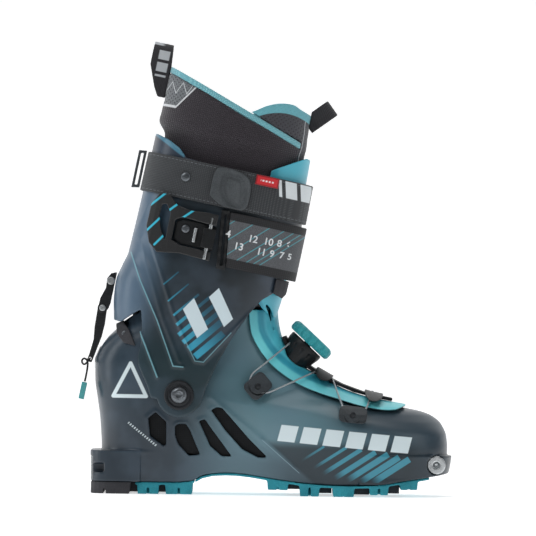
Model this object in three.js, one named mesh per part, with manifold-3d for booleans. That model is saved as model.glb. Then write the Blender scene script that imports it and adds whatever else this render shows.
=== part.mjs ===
// Alpine touring boot, right foot, size 27: a hinged cuff on a moulded lower shell, a soft
// liner, two straps, a lever buckle, a lace dial and a ski/walk lever.
// Millimetres. +X points to the toe, +Y to the inner side of the leg, +Z up. The origin is on
// the floor, straight below the ankle pivot and midway between the two sides.
import * as THREE from "three";
import { mergeVertices } from "three/addons/utils/BufferGeometryUtils.js";
import Module from "manifold-3d";

const wasm = await Module();
wasm.setup();

// ---- Driving dimensions ---------------------------------------------------------------------
const SOLE_LENGTH = 297; // heel welt to toe welt
const BALL_WIDTH = 103; // widest part of the lower shell
const PIVOT_HEIGHT = 81.5; // ankle pivot above the floor
const LEAN = THREE.MathUtils.degToRad(11.2); // forward lean of the cuff, locked for skiing
const TOE_SWEEP = 6; // how far the toe turns to the inner side
const SWEEP_START = 122;
const SWEEP_RUN = 84;

const SHELL_WALL = 3.6;
const SHELL_TOP = 150;
const SHELL_FOOT = 8.5; // lowest point of the moulded shell
const CUFF_WALL = 3;
const GAP = 0.4; // clearance between pieces that touch
const LINER_INSET = SHELL_WALL + 4.4; // liner skin, inside the skin of the lower shell
const LINER_WALL = 5;
const SHAFT_INSET = CUFF_WALL + 4.6; // liner skin, inside the skin of the cuff
const SHAFT_WALL = 6.5;
const TONGUE_WALL = 2.4;
const BOARD_THICKNESS = 3;
const INSOLE_THICKNESS = 3;
const SOLE_SHEET = 1.9;
const BLOCK_TOP = 35.4; // top of the heel and toe welts
const HEEL_TREAD_TOP = 9.6;
const HEEL_SWING = 76.5; // radius about the ankle that the cuff keeps clear of
const DIAL_SWING = 131; // radius about the ankle that clears the lace dial
const DIAL_GAP = 25; // half width of that clearance
const FRONT_GAP = 8; // half width of the slit in the front of the cuff

const STRAP_LOW = 157.5; // power strap, heights above the ankle along the leg
const STRAP_HIGH = 190;
const STRAP_THICKNESS = 2.5;
const LOWER_STRAP_LOW = 110;
const LOWER_STRAP_HIGH = 155;
const LOWER_STRAP_THICKNESS = 3.2;

const WASHER_RADIUS = 12.2;
const BOLT_RADIUS = 6.6;
const BOLT_SHANK = 3.9;
const NUT_RADIUS = 6.6;
const NUT_FLANGE = 11;
const DIAL_RADIUS = 20;
const DIAL_THICKNESS = 9;
const DIAL_CENTRE = new THREE.Vector3(108, 0, 127.9);
const DIAL_AXIS = new THREE.Vector3(0.678, 0, 0.735).normalize();
const LACE_DIAMETER = 1.2;
const LEVER_PIN = [-76.7, 56.4]; // walk lever pivot, cuff axes
const LEVER_HALF = 6.2;
const BUCKLE_PIN = [-3, 130]; // buckle lever pivot, cuff axes
const BUCKLE_PIN_RISE = 5.4; // its height over the cuff skin
const BUCKLE_PIN_RADIUS = 1.5;
const CORD_DIAMETER = 1.6;
const CORD_EXIT = [-78.2, -6.9, 13.5]; // side mouth of the lever's cord hole, cuff axes

const DRAWN_LENGTH = 297; // the size that the stations below are drawn at
const DRAWN_WIDTH = 103;
const along = (x) => (x * SOLE_LENGTH) / DRAWN_LENGTH;
const across = (y) => (y * BALL_WIDTH) / DRAWN_WIDTH;

// ---- Helpers --------------------------------------------------------------------------------
const material = (color, roughness, metalness = 0) =>
  new THREE.MeshStandardMaterial({ color, roughness, metalness });

const boot = new THREE.Group();
const cuffGroup = new THREE.Group();
cuffGroup.position.set(0, 0, PIVOT_HEIGHT);
cuffGroup.rotation.y = LEAN;
boot.add(cuffGroup);
cuffGroup.updateMatrix();

function solidOf(geometry) {
  const bare = geometry.clone();
  bare.deleteAttribute("normal");
  bare.deleteAttribute("uv");
  const merged = mergeVertices(bare, 1e-4);
  return new wasm.Manifold(
    new wasm.Mesh({
      numProp: 3,
      vertProperties: new Float32Array(merged.attributes.position.array),
      triVerts: new Uint32Array(merged.index.array),
    }),
  );
}

function geometryOf(solid) {
  const mesh = solid.getMesh();
  const geometry = new THREE.BufferGeometry();
  geometry.setAttribute("position", new THREE.BufferAttribute(mesh.vertProperties, 3));
  geometry.setIndex(new THREE.BufferAttribute(mesh.triVerts, 1));
  geometry.computeVertexNormals();
  return geometry;
}

// The forefoot is swept to the inner side: every piece on the shell follows the same curve.
function sweep(geometry) {
  const place = geometry.attributes.position;
  for (let i = 0; i < place.count; i += 1) {
    const t = THREE.MathUtils.smoothstep(
      place.getX(i),
      along(SWEEP_START),
      along(SWEEP_START + SWEEP_RUN),
    );
    place.setY(i, place.getY(i) + across(TOE_SWEEP) * t);
  }
  return geometry;
}

function addToBoot(name, solid, finish) {
  const mesh = new THREE.Mesh(sweep(geometryOf(solid)), finish);
  mesh.name = name;
  boot.add(mesh);
  return mesh;
}

function addToCuff(name, solid, finish) {
  const mesh = new THREE.Mesh(geometryOf(solid), finish);
  mesh.name = name;
  cuffGroup.add(mesh);
  return mesh;
}

// A straight-line reading of a short table of [height, value] stations.
function station(table, height) {
  if (height <= table[0][0]) return table[0][1];
  for (let i = 1; i < table.length; i += 1) {
    const [low, from] = table[i - 1];
    const [high, to] = table[i];
    if (height <= high) {
      return from + ((to - from) * (height - low)) / (high - low);
    }
  }
  return table[table.length - 1][1];
}

// A closed body through one outline for each level. outline(level) gives the rear and front
// ends and the half width at a place between them.
function loft(levels, outline, samples = 16) {
  const points = [];
  const ring = 2 * samples;
  for (const level of levels) {
    const { rear, front, half } = outline(level);
    for (let i = 0; i < ring; i += 1) {
      const step = i <= samples ? i : ring - i;
      const x = rear + ((front - rear) * (1 - Math.cos((Math.PI * step) / samples))) / 2;
      const width = step === 0 || step === samples ? 0 : half(x);
      points.push(x, i <= samples ? -width : width, level);
    }
  }
  const faces = [];
  const quad = (a, b, c, d) => {
    if (a !== b) faces.push(a, b, c);
    if (c !== d && a !== d) faces.push(a, c, d);
  };
  for (let k = 0; k + 1 < levels.length; k += 1) {
    for (let i = 0; i < ring; i += 1) {
      const j = (i + 1) % ring;
      const base = k * ring;
      faces.push(base + i, base + j, base + ring + j);
      faces.push(base + i, base + ring + j, base + ring + i);
    }
  }
  const top = (levels.length - 1) * ring;
  for (let i = 0; i < samples; i += 1) {
    const a = i;
    const b = i + 1;
    const c = (ring - i - 1) % ring;
    const d = (ring - i) % ring;
    if (b === c) {
      quad(top + a, top + b, top + d, top + a);
      quad(d, b, a, d);
    } else {
      quad(top + a, top + b, top + c, a === d ? top + c : top + d);
      quad(a === d ? c : d, c, b, a);
      if (a === d) continue;
    }
  }
  const geometry = new THREE.BufferGeometry();
  geometry.setAttribute("position", new THREE.Float32BufferAttribute(points, 3));
  geometry.setIndex(faces);
  return solidOf(geometry.toNonIndexed());
}

// A side outline in the XZ plane, pushed through the boot from yLow to yHigh.
function sidePrism(outline, yLow, yHigh) {
  const shape =
    outline instanceof THREE.Shape
      ? outline
      : new THREE.Shape(outline.map(([x, z]) => new THREE.Vector2(x, z)));
  const body = new THREE.ExtrudeGeometry(shape, {
    depth: yHigh - yLow,
    bevelEnabled: false,
    curveSegments: 6,
  });
  body.rotateX(Math.PI / 2);
  body.translate(0, yHigh, 0);
  return solidOf(body);
}

// A plan outline in the XY plane, raised from zLow to zHigh.
function planPrism(outline, zLow, zHigh) {
  const shape = new THREE.Shape(outline.map(([x, y]) => new THREE.Vector2(x, y)));
  const body = new THREE.ExtrudeGeometry(shape, { depth: zHigh - zLow, bevelEnabled: false });
  body.translate(0, 0, zLow);
  return solidOf(body);
}

function box(xLow, xHigh, yLow, yHigh, zLow, zHigh) {
  const body = new THREE.BoxGeometry(xHigh - xLow, yHigh - yLow, zHigh - zLow);
  body.translate((xLow + xHigh) / 2, (yLow + yHigh) / 2, (zLow + zHigh) / 2);
  return solidOf(body);
}

// A turned piece. The profile is [radius, distance along the axis] from axis to axis.
function turned(profile, centre, axis, segments = 18) {
  const body = new THREE.LatheGeometry(
    profile.map(([r, h]) => new THREE.Vector2(r, h)),
    segments,
  );
  body.applyQuaternion(
    new THREE.Quaternion().setFromUnitVectors(new THREE.Vector3(0, 1, 0), axis),
  );
  body.translate(centre.x, centre.y, centre.z);
  const solid = solidOf(body);
  return solid.volume() > 0 ? solid : solidOf(flipped(body));
}

function flipped(geometry) {
  const turnedOver = geometry.clone();
  const faces = turnedOver.index.array;
  for (let i = 0; i < faces.length; i += 3) {
    [faces[i + 1], faces[i + 2]] = [faces[i + 2], faces[i + 1]];
  }
  return turnedOver;
}

const rod = (radius, low, high, centre, axis, segments = 18) =>
  turned([[0, low], [radius, low], [radius, high], [0, high]], centre, axis, segments);
const disc = (radius, bore, low, high, centre, axis, segments = 18) =>
  turned([[bore, low], [radius, low], [radius, high], [bore, high], [bore, low]],
    centre, axis, segments);

const Y_AXIS = new THREE.Vector3(0, 1, 0);
const Z_AXIS = new THREE.Vector3(0, 0, 1);
const at = (x, y, z) => new THREE.Vector3(x, y, z);
const SIDES = [["lateral", -1], ["medial", 1]];
const WIDE = 200; // reaches past every piece

// A tube along a route of points, with a round section.
function tube(route, diameter, steps) {
  const curve = new THREE.CatmullRomCurve3(route.map((p) => at(...p)), false, "centripetal");
  const section = new THREE.Shape();
  section.absarc(0, 0, diameter / 2, 0, 2 * Math.PI);
  const body = new THREE.ExtrudeGeometry(section, {
    steps,
    extrudePath: curve,
    curveSegments: 4,
  });
  const solid = solidOf(body);
  return solid.volume() > 0 ? solid : solidOf(flipped(body));
}

const range = (low, high, steps) =>
  Array.from({ length: steps + 1 }, (_, i) => low + ((high - low) * i) / steps);

// ---- The skin of the lower shell, as level outlines -----------------------------------------
const HEEL_LINE = [
  [8, -66], [36, -63.6], [60, -65], [80, -67.8], [93, -69.6], [107, -69.8], [117, -66.8],
  [127.5, -59.8], [135.5, -51.8], [142, -47], [150, -44.5], [160, -43],
];
const TOE_LINE = [
  [8, 200], [14, 214], [24, 219.5], [40, 221], [50, 220], [60, 215.5], [66.4, 208], [70, 199],
  [73, 184], [76, 166], [79, 151], [84, 135], [90, 122], [96, 111], [103, 99], [111, 90],
  [120, 84], [130, 80], [140, 78], [160, 76],
];
const HEEL_HALF = [[8, 34], [36, 36.5], [60, 38], [90, 39.5], [160, 41]];
const WAIST_HALF = [[8, 31], [30, 34.5], [50, 39], [80, 42.6], [160, 43]];
const BALL_HALF = [[8, 45], [24, 49.5], [40, 51.5], [55, 50.5], [66, 48], [75, 45], [90, 43]];
const TOE_ROUND = [[8, 72], [50, 76], [60, 90], [70, 120], [80, 126], [100, 100], [150, 75]];
const TOE_POWER = [[8, 2.4], [50, 2.3], [66, 1.95], [100, 1.85]];
const HEEL_ROUND = [[8, 34], [60, 34], [110, 42]];

function shellOutline(height, grow = 0) {
  const z = height - grow;
  const heel = along(station(HEEL_LINE, z));
  const toe = along(station(TOE_LINE, z));
  const rear = heel - grow;
  const front = toe + grow;
  const half = (x) => {
    const at0 = heel + ((x - rear) * (toe - heel)) / (front - rear);
    const back = THREE.MathUtils.smoothstep(at0, along(-40), along(25));
    const ball = THREE.MathUtils.smoothstep(at0, along(25), along(150));
    const heelHalf = station(HEEL_HALF, z);
    const waistHalf = station(WAIST_HALF, z);
    const width = across(
      heelHalf + (waistHalf - heelHalf) * back + (station(BALL_HALF, z) - waistHalf) * ball,
    );
    const toeRun = along(station(TOE_ROUND, z));
    const toward = Math.max(0, 1 - (toe - at0) / toeRun);
    const power = station(TOE_POWER, z);
    const toeEnd = Math.max(0, 1 - toward ** power) ** (1 / power);
    const heelRun = along(station(HEEL_ROUND, z));
    const away = Math.max(0, 1 - (at0 - heel) / heelRun);
    const heelEnd = Math.max(0, 1 - away ** 2.3) ** (1 / 2.3);
    return (width + grow) * toeEnd * heelEnd;
  };
  return { rear, front, half };
}
const shellHalf = (x, z, grow = 0) => shellOutline(z, grow).half(x);
const shellBody = (levels, grow, samples) =>
  loft(levels, (z) => shellOutline(z, grow), samples);

// ---- The skin of the cuff, in cuff axes: u forward, w up the leg from the ankle -------------
const CUFF_REAR = [
  [-20, -58], [40, -64], [52, -66.4], [68, -69.6], [81, -70.6], [95, -68], [106, -65.4],
  [190, -63.7], [280, -63],
];
const CUFF_FRONT = [[-20, 64], [60, 66], [100, 69.8], [155, 70], [190, 69.4], [280, 66]];
const CUFF_HALF = [[-20, 49], [40, 49], [80, 50.5], [110, 52], [190, 54], [280, 55]];
const CUFF_POWER_REAR = 3;
const CUFF_POWER_FRONT = 2.5;

function cuffOutline(height, grow = 0) {
  const w = height;
  const back = along(station(CUFF_REAR, w));
  const fore = along(station(CUFF_FRONT, w));
  const rear = back - grow;
  const front = fore + grow;
  const middle = (rear + front) / 2;
  const run = (front - rear) / 2;
  const half = (x) => {
    const t = Math.min(1, Math.abs(x - middle) / run);
    const power = x < middle ? CUFF_POWER_REAR : CUFF_POWER_FRONT;
    return (across(station(CUFF_HALF, w)) + grow) * (1 - t ** power) ** (1 / power);
  };
  return { rear, front, half };
}
const cuffHalf = (u, w, grow = 0) => cuffOutline(w, grow).half(u);
const cuffBody = (levels, grow, samples = 18) => loft(levels, (w) => cuffOutline(w, grow), samples);
const cuffSkin = (low, high, inner, outer, steps, samples) =>
  cuffBody(range(low, high, steps), outer, samples).subtract(
    cuffBody(range(low - 1, high + 1, steps), inner, samples),
  );
const uw = (points) => points.map(([u, w]) => [along(u), w]);
const xz = (points) => points.map(([x, z]) => [along(x), z]);
const curveThrough = (points, count) =>
  new THREE.CatmullRomCurve3(points.map(([x, z]) => at(x, z, 0)), false, "centripetal")
    .getPoints(count)
    .map((p) => [p.x, p.y]);
const inWorld = (solid) => solid.transform(cuffGroup.matrix.elements);

// ---- Shapes shared by the pieces of the foot ------------------------------------------------
// Underside of the moulded shell: a low heel block, a raised arch and a rockered forefoot.
const UNDERSIDE = curveThrough(
  [[4, 10.4], [12, 11.4], [22, 16.4], [38.5, 18.2], [55, 17.4], [73.7, 14.6], [100, 11],
    [132.6, 9.2], [165, 10.2], [181.5, 12.8], [202, 16], [216, 18.2], [228, 21]],
  20,
);
const underside = xz([[-80, HEEL_TREAD_TOP + GAP], [2, HEEL_TREAD_TOP + GAP], ...UNDERSIDE]);
const below = (drop) => [
  ...underside.map(([x, z]) => [x, z - drop]),
  [along(240), -20],
  [along(-90), -20],
];
// Inner floor: high under the heel, low under the ball, rising at the toe over the insert.
const floorLine = (rise) =>
  xz([[-80, 38], [-30, 38], [60, 27], [150, 26], [190, 30], [205, 36], [225, 36]])
    .map(([x, z]) => [x, z + rise]);
const floorBlock = (rise) =>
  sidePrism([...floorLine(rise), [along(225), -20], [along(-80), -20]], -WIDE, WIDE);

// Where the tongue meets the shell, seen from the side.
const TONGUE_EDGE = [
  [56, 152], [57.3, 135.4], [62.4, 123.2], [72.3, 109.4], [84.7, 99], [98.8, 90.4],
  [115.2, 84], [129.9, 79.6], [143.9, 75.4], [157.8, 72.4], [168.5, 71], [178, 71.4],
  [186, 74.6],
];
const above = (edge, topZ) => [...edge, [along(186), topZ], [edge[0][0], topZ]];
const tongueEdge = xz(curveThrough(TONGUE_EDGE, 24));

// ---- Lower shell ----------------------------------------------------------------------------
const SHELL_LEVELS = [
  SHELL_FOOT, 14, 24, 38, 50, 60, 66, 70, 73, 76, 80, 85, 92, 100, 110, 122, 136, SHELL_TOP,
];
const ROOM_LEVELS = [20, ...SHELL_LEVELS.slice(3), SHELL_TOP + 12];
const SHELL_SAMPLES = 16;
const HEEL_BLOCK_HALF = 37.6;
const HEEL_BLOCK_ROUND = 17;

function heelBlock() {
  const rear = along(-72.3);
  const half = across(HEEL_BLOCK_HALF);
  const outline = [[along(-31), -half], [along(-31), half]];
  for (const turn of range(0, Math.PI / 2, 5)) {
    outline.push([
      rear + HEEL_BLOCK_ROUND * (1 - Math.sin(turn)),
      half - HEEL_BLOCK_ROUND * (1 - Math.cos(turn)),
    ]);
  }
  for (const turn of range(Math.PI / 2, 0, 5)) {
    outline.push([
      rear + HEEL_BLOCK_ROUND * (1 - Math.sin(turn)),
      -half + HEEL_BLOCK_ROUND * (1 - Math.cos(turn)),
    ]);
  }
  const unique = outline.filter(
    (p, i) => i === 0 || Math.hypot(p[0] - outline[i - 1][0], p[1] - outline[i - 1][1]) > 0.01,
  );
  unique.reverse();
  return planPrism(unique, HEEL_TREAD_TOP + GAP, BLOCK_TOP);
}

const TOE_BLOCK = 3.8; // how far the toe welt stands out
const toeBlock = () =>
  loft(
    [10, 16, 22, 34],
    (z) => {
      const { rear, front, half } = shellOutline(Math.max(z, 18), 0);
      return {
        rear,
        front: front + TOE_BLOCK,
        half: (x) =>
          half(x - TOE_BLOCK * THREE.MathUtils.smoothstep(x, along(120), front)) +
          TOE_BLOCK * 0.6 * THREE.MathUtils.smoothstep(x, along(150), along(200)),
      };
    },
    18,
  ).subtract(box(along(-90), along(148), -WIDE, WIDE, 0, 60));

// Four openings in each side of the arch, which lighten the shell and show the core behind.
const WINDOWS = [
  [[-25, 62.4], [-18.8, 67.2], [-10.3, 59.3], [-10.1, 40.5], [-12, 39.6], [-23.2, 47.7]],
  [[-2.9, 56.1], [-0.5, 57.8], [6, 57.9], [9.2, 53], [17.8, 32.7], [8.5, 32], [-0.3, 41.5],
    [-2.9, 48.8]],
  [[16.6, 60.5], [21.5, 62], [24, 58.1], [44, 31.4], [35.5, 32], [25.9, 40.2]],
  [[26.3, 69.6], [31, 72], [35.3, 71.4], [58.5, 45.5], [73.4, 31], [65, 31.4], [52, 38],
    [38, 53.4]],
];
const PIVOT = at(0, 0, PIVOT_HEIGHT);
const TONGUE_LAP = 7; // how far the tongue overlaps the shell on each side
const INSERT_PLACE = [211.6, 26.4]; // toe insert, along the boot and up
const INSERT_BAR = 4.2;
const INSERT_FLANGE = 7.6;
const INSERT_HALF = 30.2; // outer faces of the toe insert
const GUIDES = [
  { name: "upper", x: 64.4, z: 89.7, turn: 0.72, long: 20.5, high: 17, edge: 5 },
  { name: "lower", x: 142.4, z: 67.4, turn: -0.1, long: 23, high: 13.5, edge: 5 },
];

const pocket = (side, points) =>
  sidePrism(xz(points), side < 0 ? -WIDE : across(20), side < 0 ? -across(20) : WIDE);

let shell = shellBody(SHELL_LEVELS, 0, SHELL_SAMPLES).add(heelBlock()).add(toeBlock());
shell = shell.subtract(sidePrism(below(0), -WIDE, WIDE));
let shellRoom = shellBody(ROOM_LEVELS, -SHELL_WALL, SHELL_SAMPLES);
shellRoom = shellRoom.subtract(floorBlock(0));
shell = shell.subtract(shellRoom);
const throat = above(tongueEdge.map(([x, z]) => [x + TONGUE_LAP * 0.7, z + TONGUE_LAP]), 190);
shell = shell.subtract(sidePrism(throat, -WIDE, WIDE));
// The rear rim is round about the ankle, so that the cuff slides over it.
shell = shell.subtract(
  box(-WIDE, 0, -WIDE, WIDE, 120, 200).subtract(
    rod(along(HEEL_SWING - 1.1), -WIDE, WIDE, at(0, 0, PIVOT_HEIGHT), Y_AXIS, 64),
  ),
);
for (const [, side] of SIDES) {
  for (const outline of WINDOWS) {
    shell = shell.subtract(pocket(side, outline));
  }
  const flat = side * across(INSERT_HALF);
  const insertSeat = at(along(INSERT_PLACE[0]), flat, INSERT_PLACE[1]);
  shell = shell.subtract(rod(INSERT_FLANGE + GAP, -3, 30, insertSeat, at(0, side, 0)));
}
shell = shell.subtract(
  rod(INSERT_BAR + GAP, -WIDE, WIDE, at(along(INSERT_PLACE[0]), 0, INSERT_PLACE[1]), Y_AXIS, 12),
);
shell = shell.subtract(rod(NUT_RADIUS + GAP, -WIDE, WIDE, PIVOT, Y_AXIS));
const HEEL_PLATE = { z: 20, half: 12, high: 10, thick: 2.2 };
const heelFace = along(-72.3);
shell = shell.subtract(
  box(heelFace - 5, heelFace + HEEL_PLATE.thick, -HEEL_PLATE.half - GAP, HEEL_PLATE.half + GAP,
    HEEL_PLATE.z - HEEL_PLATE.high - GAP, HEEL_PLATE.z + HEEL_PLATE.high + GAP),
);
addToBoot("lower_shell", shell, material(0x475f6d, 0.45));

// ---- Core inserts behind the windows --------------------------------------------------------
const coreBand = shellBody(ROOM_LEVELS, -SHELL_WALL - GAP, SHELL_SAMPLES)
  .subtract(shellBody([18, ...ROOM_LEVELS.slice(1), 170], -SHELL_WALL - GAP - 1.8, SHELL_SAMPLES))
  .subtract(floorBlock(0.4));
for (const [name, side] of SIDES) {
  const panel = sidePrism(
    xz([[-30, 38.6], [-30, 70], [-14, 70], [-9, 63.4], [12, 63.4], [24, 73], [38, 76], [80, 34],
      [80, 20], [-20, 20]]),
    side < 0 ? -WIDE : 8,
    side < 0 ? -8 : WIDE,
  );
  addToBoot(`core_insert_${name}`, coreBand.intersect(panel), material(0x1b1f22, 0.6));
}

// ---- Soles ----------------------------------------------------------------------------------
const soleField = (low, high) =>
  loft([low, high], () => {
    const { rear, front, half } = shellOutline(20, 0);
    return { rear: rear - 6, front: front + 1, half: (x) => half(x) - 1 };
  }, 20);

// Lugs hang from a thin sheet that follows the underside. Each is a tapered block with two
// short slits at its outer ends.
function lugRow(lugs, sheetTop) {
  const outline = [];
  for (const { from, to, bottom } of lugs) {
    outline.push([from - 1.6, 30], [from + 0.6, bottom], [to - 0.6, bottom], [to + 1.6, 30]);
  }
  const first = outline[0][0];
  const last = outline[outline.length - 1][0];
  let rubber = sidePrism(xz([[first, 31], ...outline, [last, 31]]).reverse(), -WIDE, WIDE);
  for (const { from, to } of lugs) {
    for (const [, side] of SIDES) {
      const middle = along((from + to) / 2);
      const outer = side < 0 ? -WIDE : across(24);
      rubber = rubber.subtract(box(middle - 0.9, middle + 0.9, outer, outer + WIDE - across(24),
        -5, sheetTop - 4.5));
    }
  }
  return rubber;
}
const sheetBelow = (from, to) =>
  sidePrism(below(GAP), -WIDE, WIDE)
    .subtract(sidePrism(below(GAP + SOLE_SHEET), -WIDE, WIDE))
    .intersect(box(along(from), along(to), -WIDE, WIDE, -10, 40));

const FORE_LUGS = [
  { from: 73, to: 90.5, bottom: 4.8 }, { from: 99.5, to: 116, bottom: 0 },
  { from: 126.5, to: 144.5, bottom: 0 }, { from: 156.5, to: 172.5, bottom: 1.7 },
  { from: 181.5, to: 196.5, bottom: 6 },
];
const HEEL_LUGS = [{ from: -33.5, to: -15.5, bottom: 0 }, { from: -10.5, to: 12, bottom: 0 }];
const soleTop = sidePrism(below(GAP), -WIDE, WIDE);
let foreSole = lugRow(FORE_LUGS, 12).add(sheetBelow(14, 206)).intersect(soleTop);
foreSole = foreSole.intersect(soleField(-1, 40));
addToBoot("forefoot_sole", foreSole, material(0x2a8797, 0.75));
let heelSole = lugRow(HEEL_LUGS, 10).add(sheetBelow(-35, 13.4)).intersect(soleTop);
heelSole = heelSole.intersect(soleField(-1, 40));
addToBoot("heel_sole", heelSole, material(0x2a8797, 0.75));
let strikePad = sidePrism(
  xz([[-78, 0], [-61, 0], [-60.6, 5], [-59.6, 5], [-59, 0], [-40, 0], [-38.6, 9.6], [-78, 9.6]]),
  -WIDE,
  WIDE,
);
strikePad = strikePad.intersect(
  heelBlock().translate([0.6, 0, -HEEL_TREAD_TOP - GAP]),
);
addToBoot("heel_strike_pad", strikePad, material(0x232427, 0.85));

// ---- Binding inserts ------------------------------------------------------------------------
const insertCentre = at(along(INSERT_PLACE[0]), 0, INSERT_PLACE[1]);
let toeInsert = rod(INSERT_BAR, -across(INSERT_HALF) + 1, across(INSERT_HALF) - 1, insertCentre,
  Y_AXIS, 12);
for (const [, side] of SIDES) {
  const out = at(0, side, 0);
  const reach = across(INSERT_HALF);
  toeInsert = toeInsert.add(rod(INSERT_FLANGE, reach - 2.4, reach, insertCentre, out, 20));
  toeInsert = toeInsert.subtract(
    turned([[0, reach - 4], [1.6, reach - 4], [3.4, reach + 1], [0, reach + 1]], insertCentre,
      out, 16),
  );
}
addToBoot("toe_insert", toeInsert, material(0xc9cdd0, 0.3, 0.9));

const plateX = heelFace + HEEL_PLATE.thick - GAP;
let heelInsert = box(heelFace + 0.2, plateX, -HEEL_PLATE.half, HEEL_PLATE.half,
  HEEL_PLATE.z - HEEL_PLATE.high, HEEL_PLATE.z + HEEL_PLATE.high);
for (const [, side] of SIDES) {
  heelInsert = heelInsert.subtract(box(heelFace - 2, plateX + 2, side * 6 - 1.9, side * 6 + 1.9,
    HEEL_PLATE.z - HEEL_PLATE.high - 1, HEEL_PLATE.z - 1));
}
addToBoot("heel_insert", heelInsert, material(0xb9bdc0, 0.35, 0.9));

// ---- Boot board, liner, insole --------------------------------------------------------------
const slab = (low, high, inset) =>
  shellBody([22, 30, 42, 50], inset, 16).intersect(floorBlock(high).subtract(floorBlock(low)));
addToBoot("boot_board", slab(GAP, GAP + BOARD_THICKNESS, -SHELL_WALL - 2.6),
  material(0x2b2d30, 0.8));

const footLevels = [26, 38, 52, 62, 69, 74, 79, 86, 95, 107, 122, 140];
const linerFloor = GAP * 2 + BOARD_THICKNESS;
const footSkin = (inset, rise, top) =>
  shellBody([...footLevels, top], -inset, 11).subtract(floorBlock(rise));
// The shaft of the liner is slim inside the shell and full inside the cuff, and its padded rim
// swells out over the top of the cuff.
const shaftSkin = (inset, low, high) =>
  inWorld(loft([low, 82, 104, 150, 205, 216, 240, high], (w) => {
    const outline = cuffOutline(w, -inset);
    const swell = THREE.MathUtils.smoothstep(w, 205, 218) * 7;
    const slim = (1 - THREE.MathUtils.smoothstep(w, 78, 106)) * 7;
    const rear = outline.rear - swell + slim;
    const front = outline.front - 0.5;
    const middle = (rear + front) / 2;
    const half = (x) => {
      const t = Math.min(1, Math.abs(x - middle) / (front - middle));
      const width = across(station(CUFF_HALF, w)) - inset + swell * 0.6 - slim * 0.7;
      return width * (1 - t ** 2.4) ** (1 / 2.4);
    };
    return { rear, front, half };
  }, 12));
const RIM_CLEAR = SHELL_TOP + 5;
function shaft(inset, low, high) {
  const whole = shaftSkin(inset, low, high);
  const inShell = whole
    .intersect(box(-WIDE, WIDE, -WIDE, WIDE, 60, RIM_CLEAR))
    .intersect(shellBody([90, ...ROOM_LEVELS.slice(11)], SHAFT_INSET - inset - SHELL_WALL - 1.2, 12));
  return inShell.add(whole.intersect(box(-WIDE, WIDE, -WIDE, WIDE, RIM_CLEAR - 0.01, 600)));
}
// The rim slopes down to the front.
const rimPlane = (drop) =>
  inWorld(sidePrism(uw([[-90, 271.8 - drop], [90, 210.4 - drop], [90, 400], [-90, 400]]),
    -WIDE, WIDE));
const COLLAR = 9;
const linerOuter = footSkin(LINER_INSET, linerFloor, 152).add(shaft(SHAFT_INSET, 46, 290));
const linerInner = footSkin(LINER_INSET + LINER_WALL, linerFloor + 4, 152).add(
  shaft(SHAFT_INSET + SHAFT_WALL, 44, 296),
);
const TONGUE_SLOT = 25; // half width of the opening in the front of the liner
const slotBlock = (half) =>
  inWorld(sidePrism(uw([[18, 86], [90, 86], [90, 300], [18, 300]]), -across(half), across(half)));
const linerShape = linerOuter.subtract(linerInner).subtract(slotBlock(TONGUE_SLOT));
addToBoot("liner", linerShape.subtract(rimPlane(COLLAR)), material(0x2d2a30, 0.9));
addToBoot("insole", slab(linerFloor + 4 + GAP, linerFloor + 4 + GAP + INSOLE_THICKNESS,
  -LINER_INSET - LINER_WALL - 2), material(0x3a3f45, 0.9));

// The collar and the liner's tongue ride on the cuff, so they are placed in cuff axes.
const toCuff = cuffGroup.matrix.clone().invert();
const inCuff = (solid) => solid.transform(toCuff.elements);
const collar = inCuff(
  linerShape.subtract(rimPlane(0)).intersect(rimPlane(COLLAR - GAP)),
);
addToCuff("liner_collar", collar, material(0x8fc9cf, 0.9));

const tongueBand = inCuff(
  shaftSkin(SHAFT_INSET + 0.6, 70, 290).subtract(shaftSkin(SHAFT_INSET + 12, 68, 292)),
);
const tongueTop = sidePrism(
  uw([[20, 90], [90, 90], [90, 232], [54, 246], [44, 251], [34, 249], [20, 239]]),
  -across(TONGUE_SLOT) + GAP,
  across(TONGUE_SLOT) - GAP,
);
addToCuff("liner_tongue", tongueBand.intersect(tongueTop), material(0x35323a, 0.9));

// ---- Tongue of the shell --------------------------------------------------------------------
const tongueLevels = SHELL_LEVELS.slice(5);
const overShell = (inner, outer) =>
  shellBody([...tongueLevels, SHELL_TOP + 4], outer, SHELL_SAMPLES).subtract(
    shellBody([56, ...tongueLevels, SHELL_TOP + 8], inner, SHELL_SAMPLES),
  );
const tongueRegion = sidePrism(above(tongueEdge, 152), -WIDE, WIDE);
const lowerTongue = overShell(GAP, GAP + TONGUE_WALL).intersect(tongueRegion);
const upperTongue = inWorld(
  cuffSkin(78, 211, -CUFF_WALL - GAP - TONGUE_WALL, -CUFF_WALL - GAP, 5, 18).intersect(
    sidePrism(uw([[52, 83], [62, 77], [90, 76], [90, 207], [62, 211], [34, 194], [22, 150],
      [30, 104], [42, 92]]),
      -across(29), across(29)),
  ),
);
const shellTongue = lowerTongue.add(upperTongue);
addToBoot("shell_tongue", shellTongue, material(0x45a0b0, 0.5));

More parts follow.
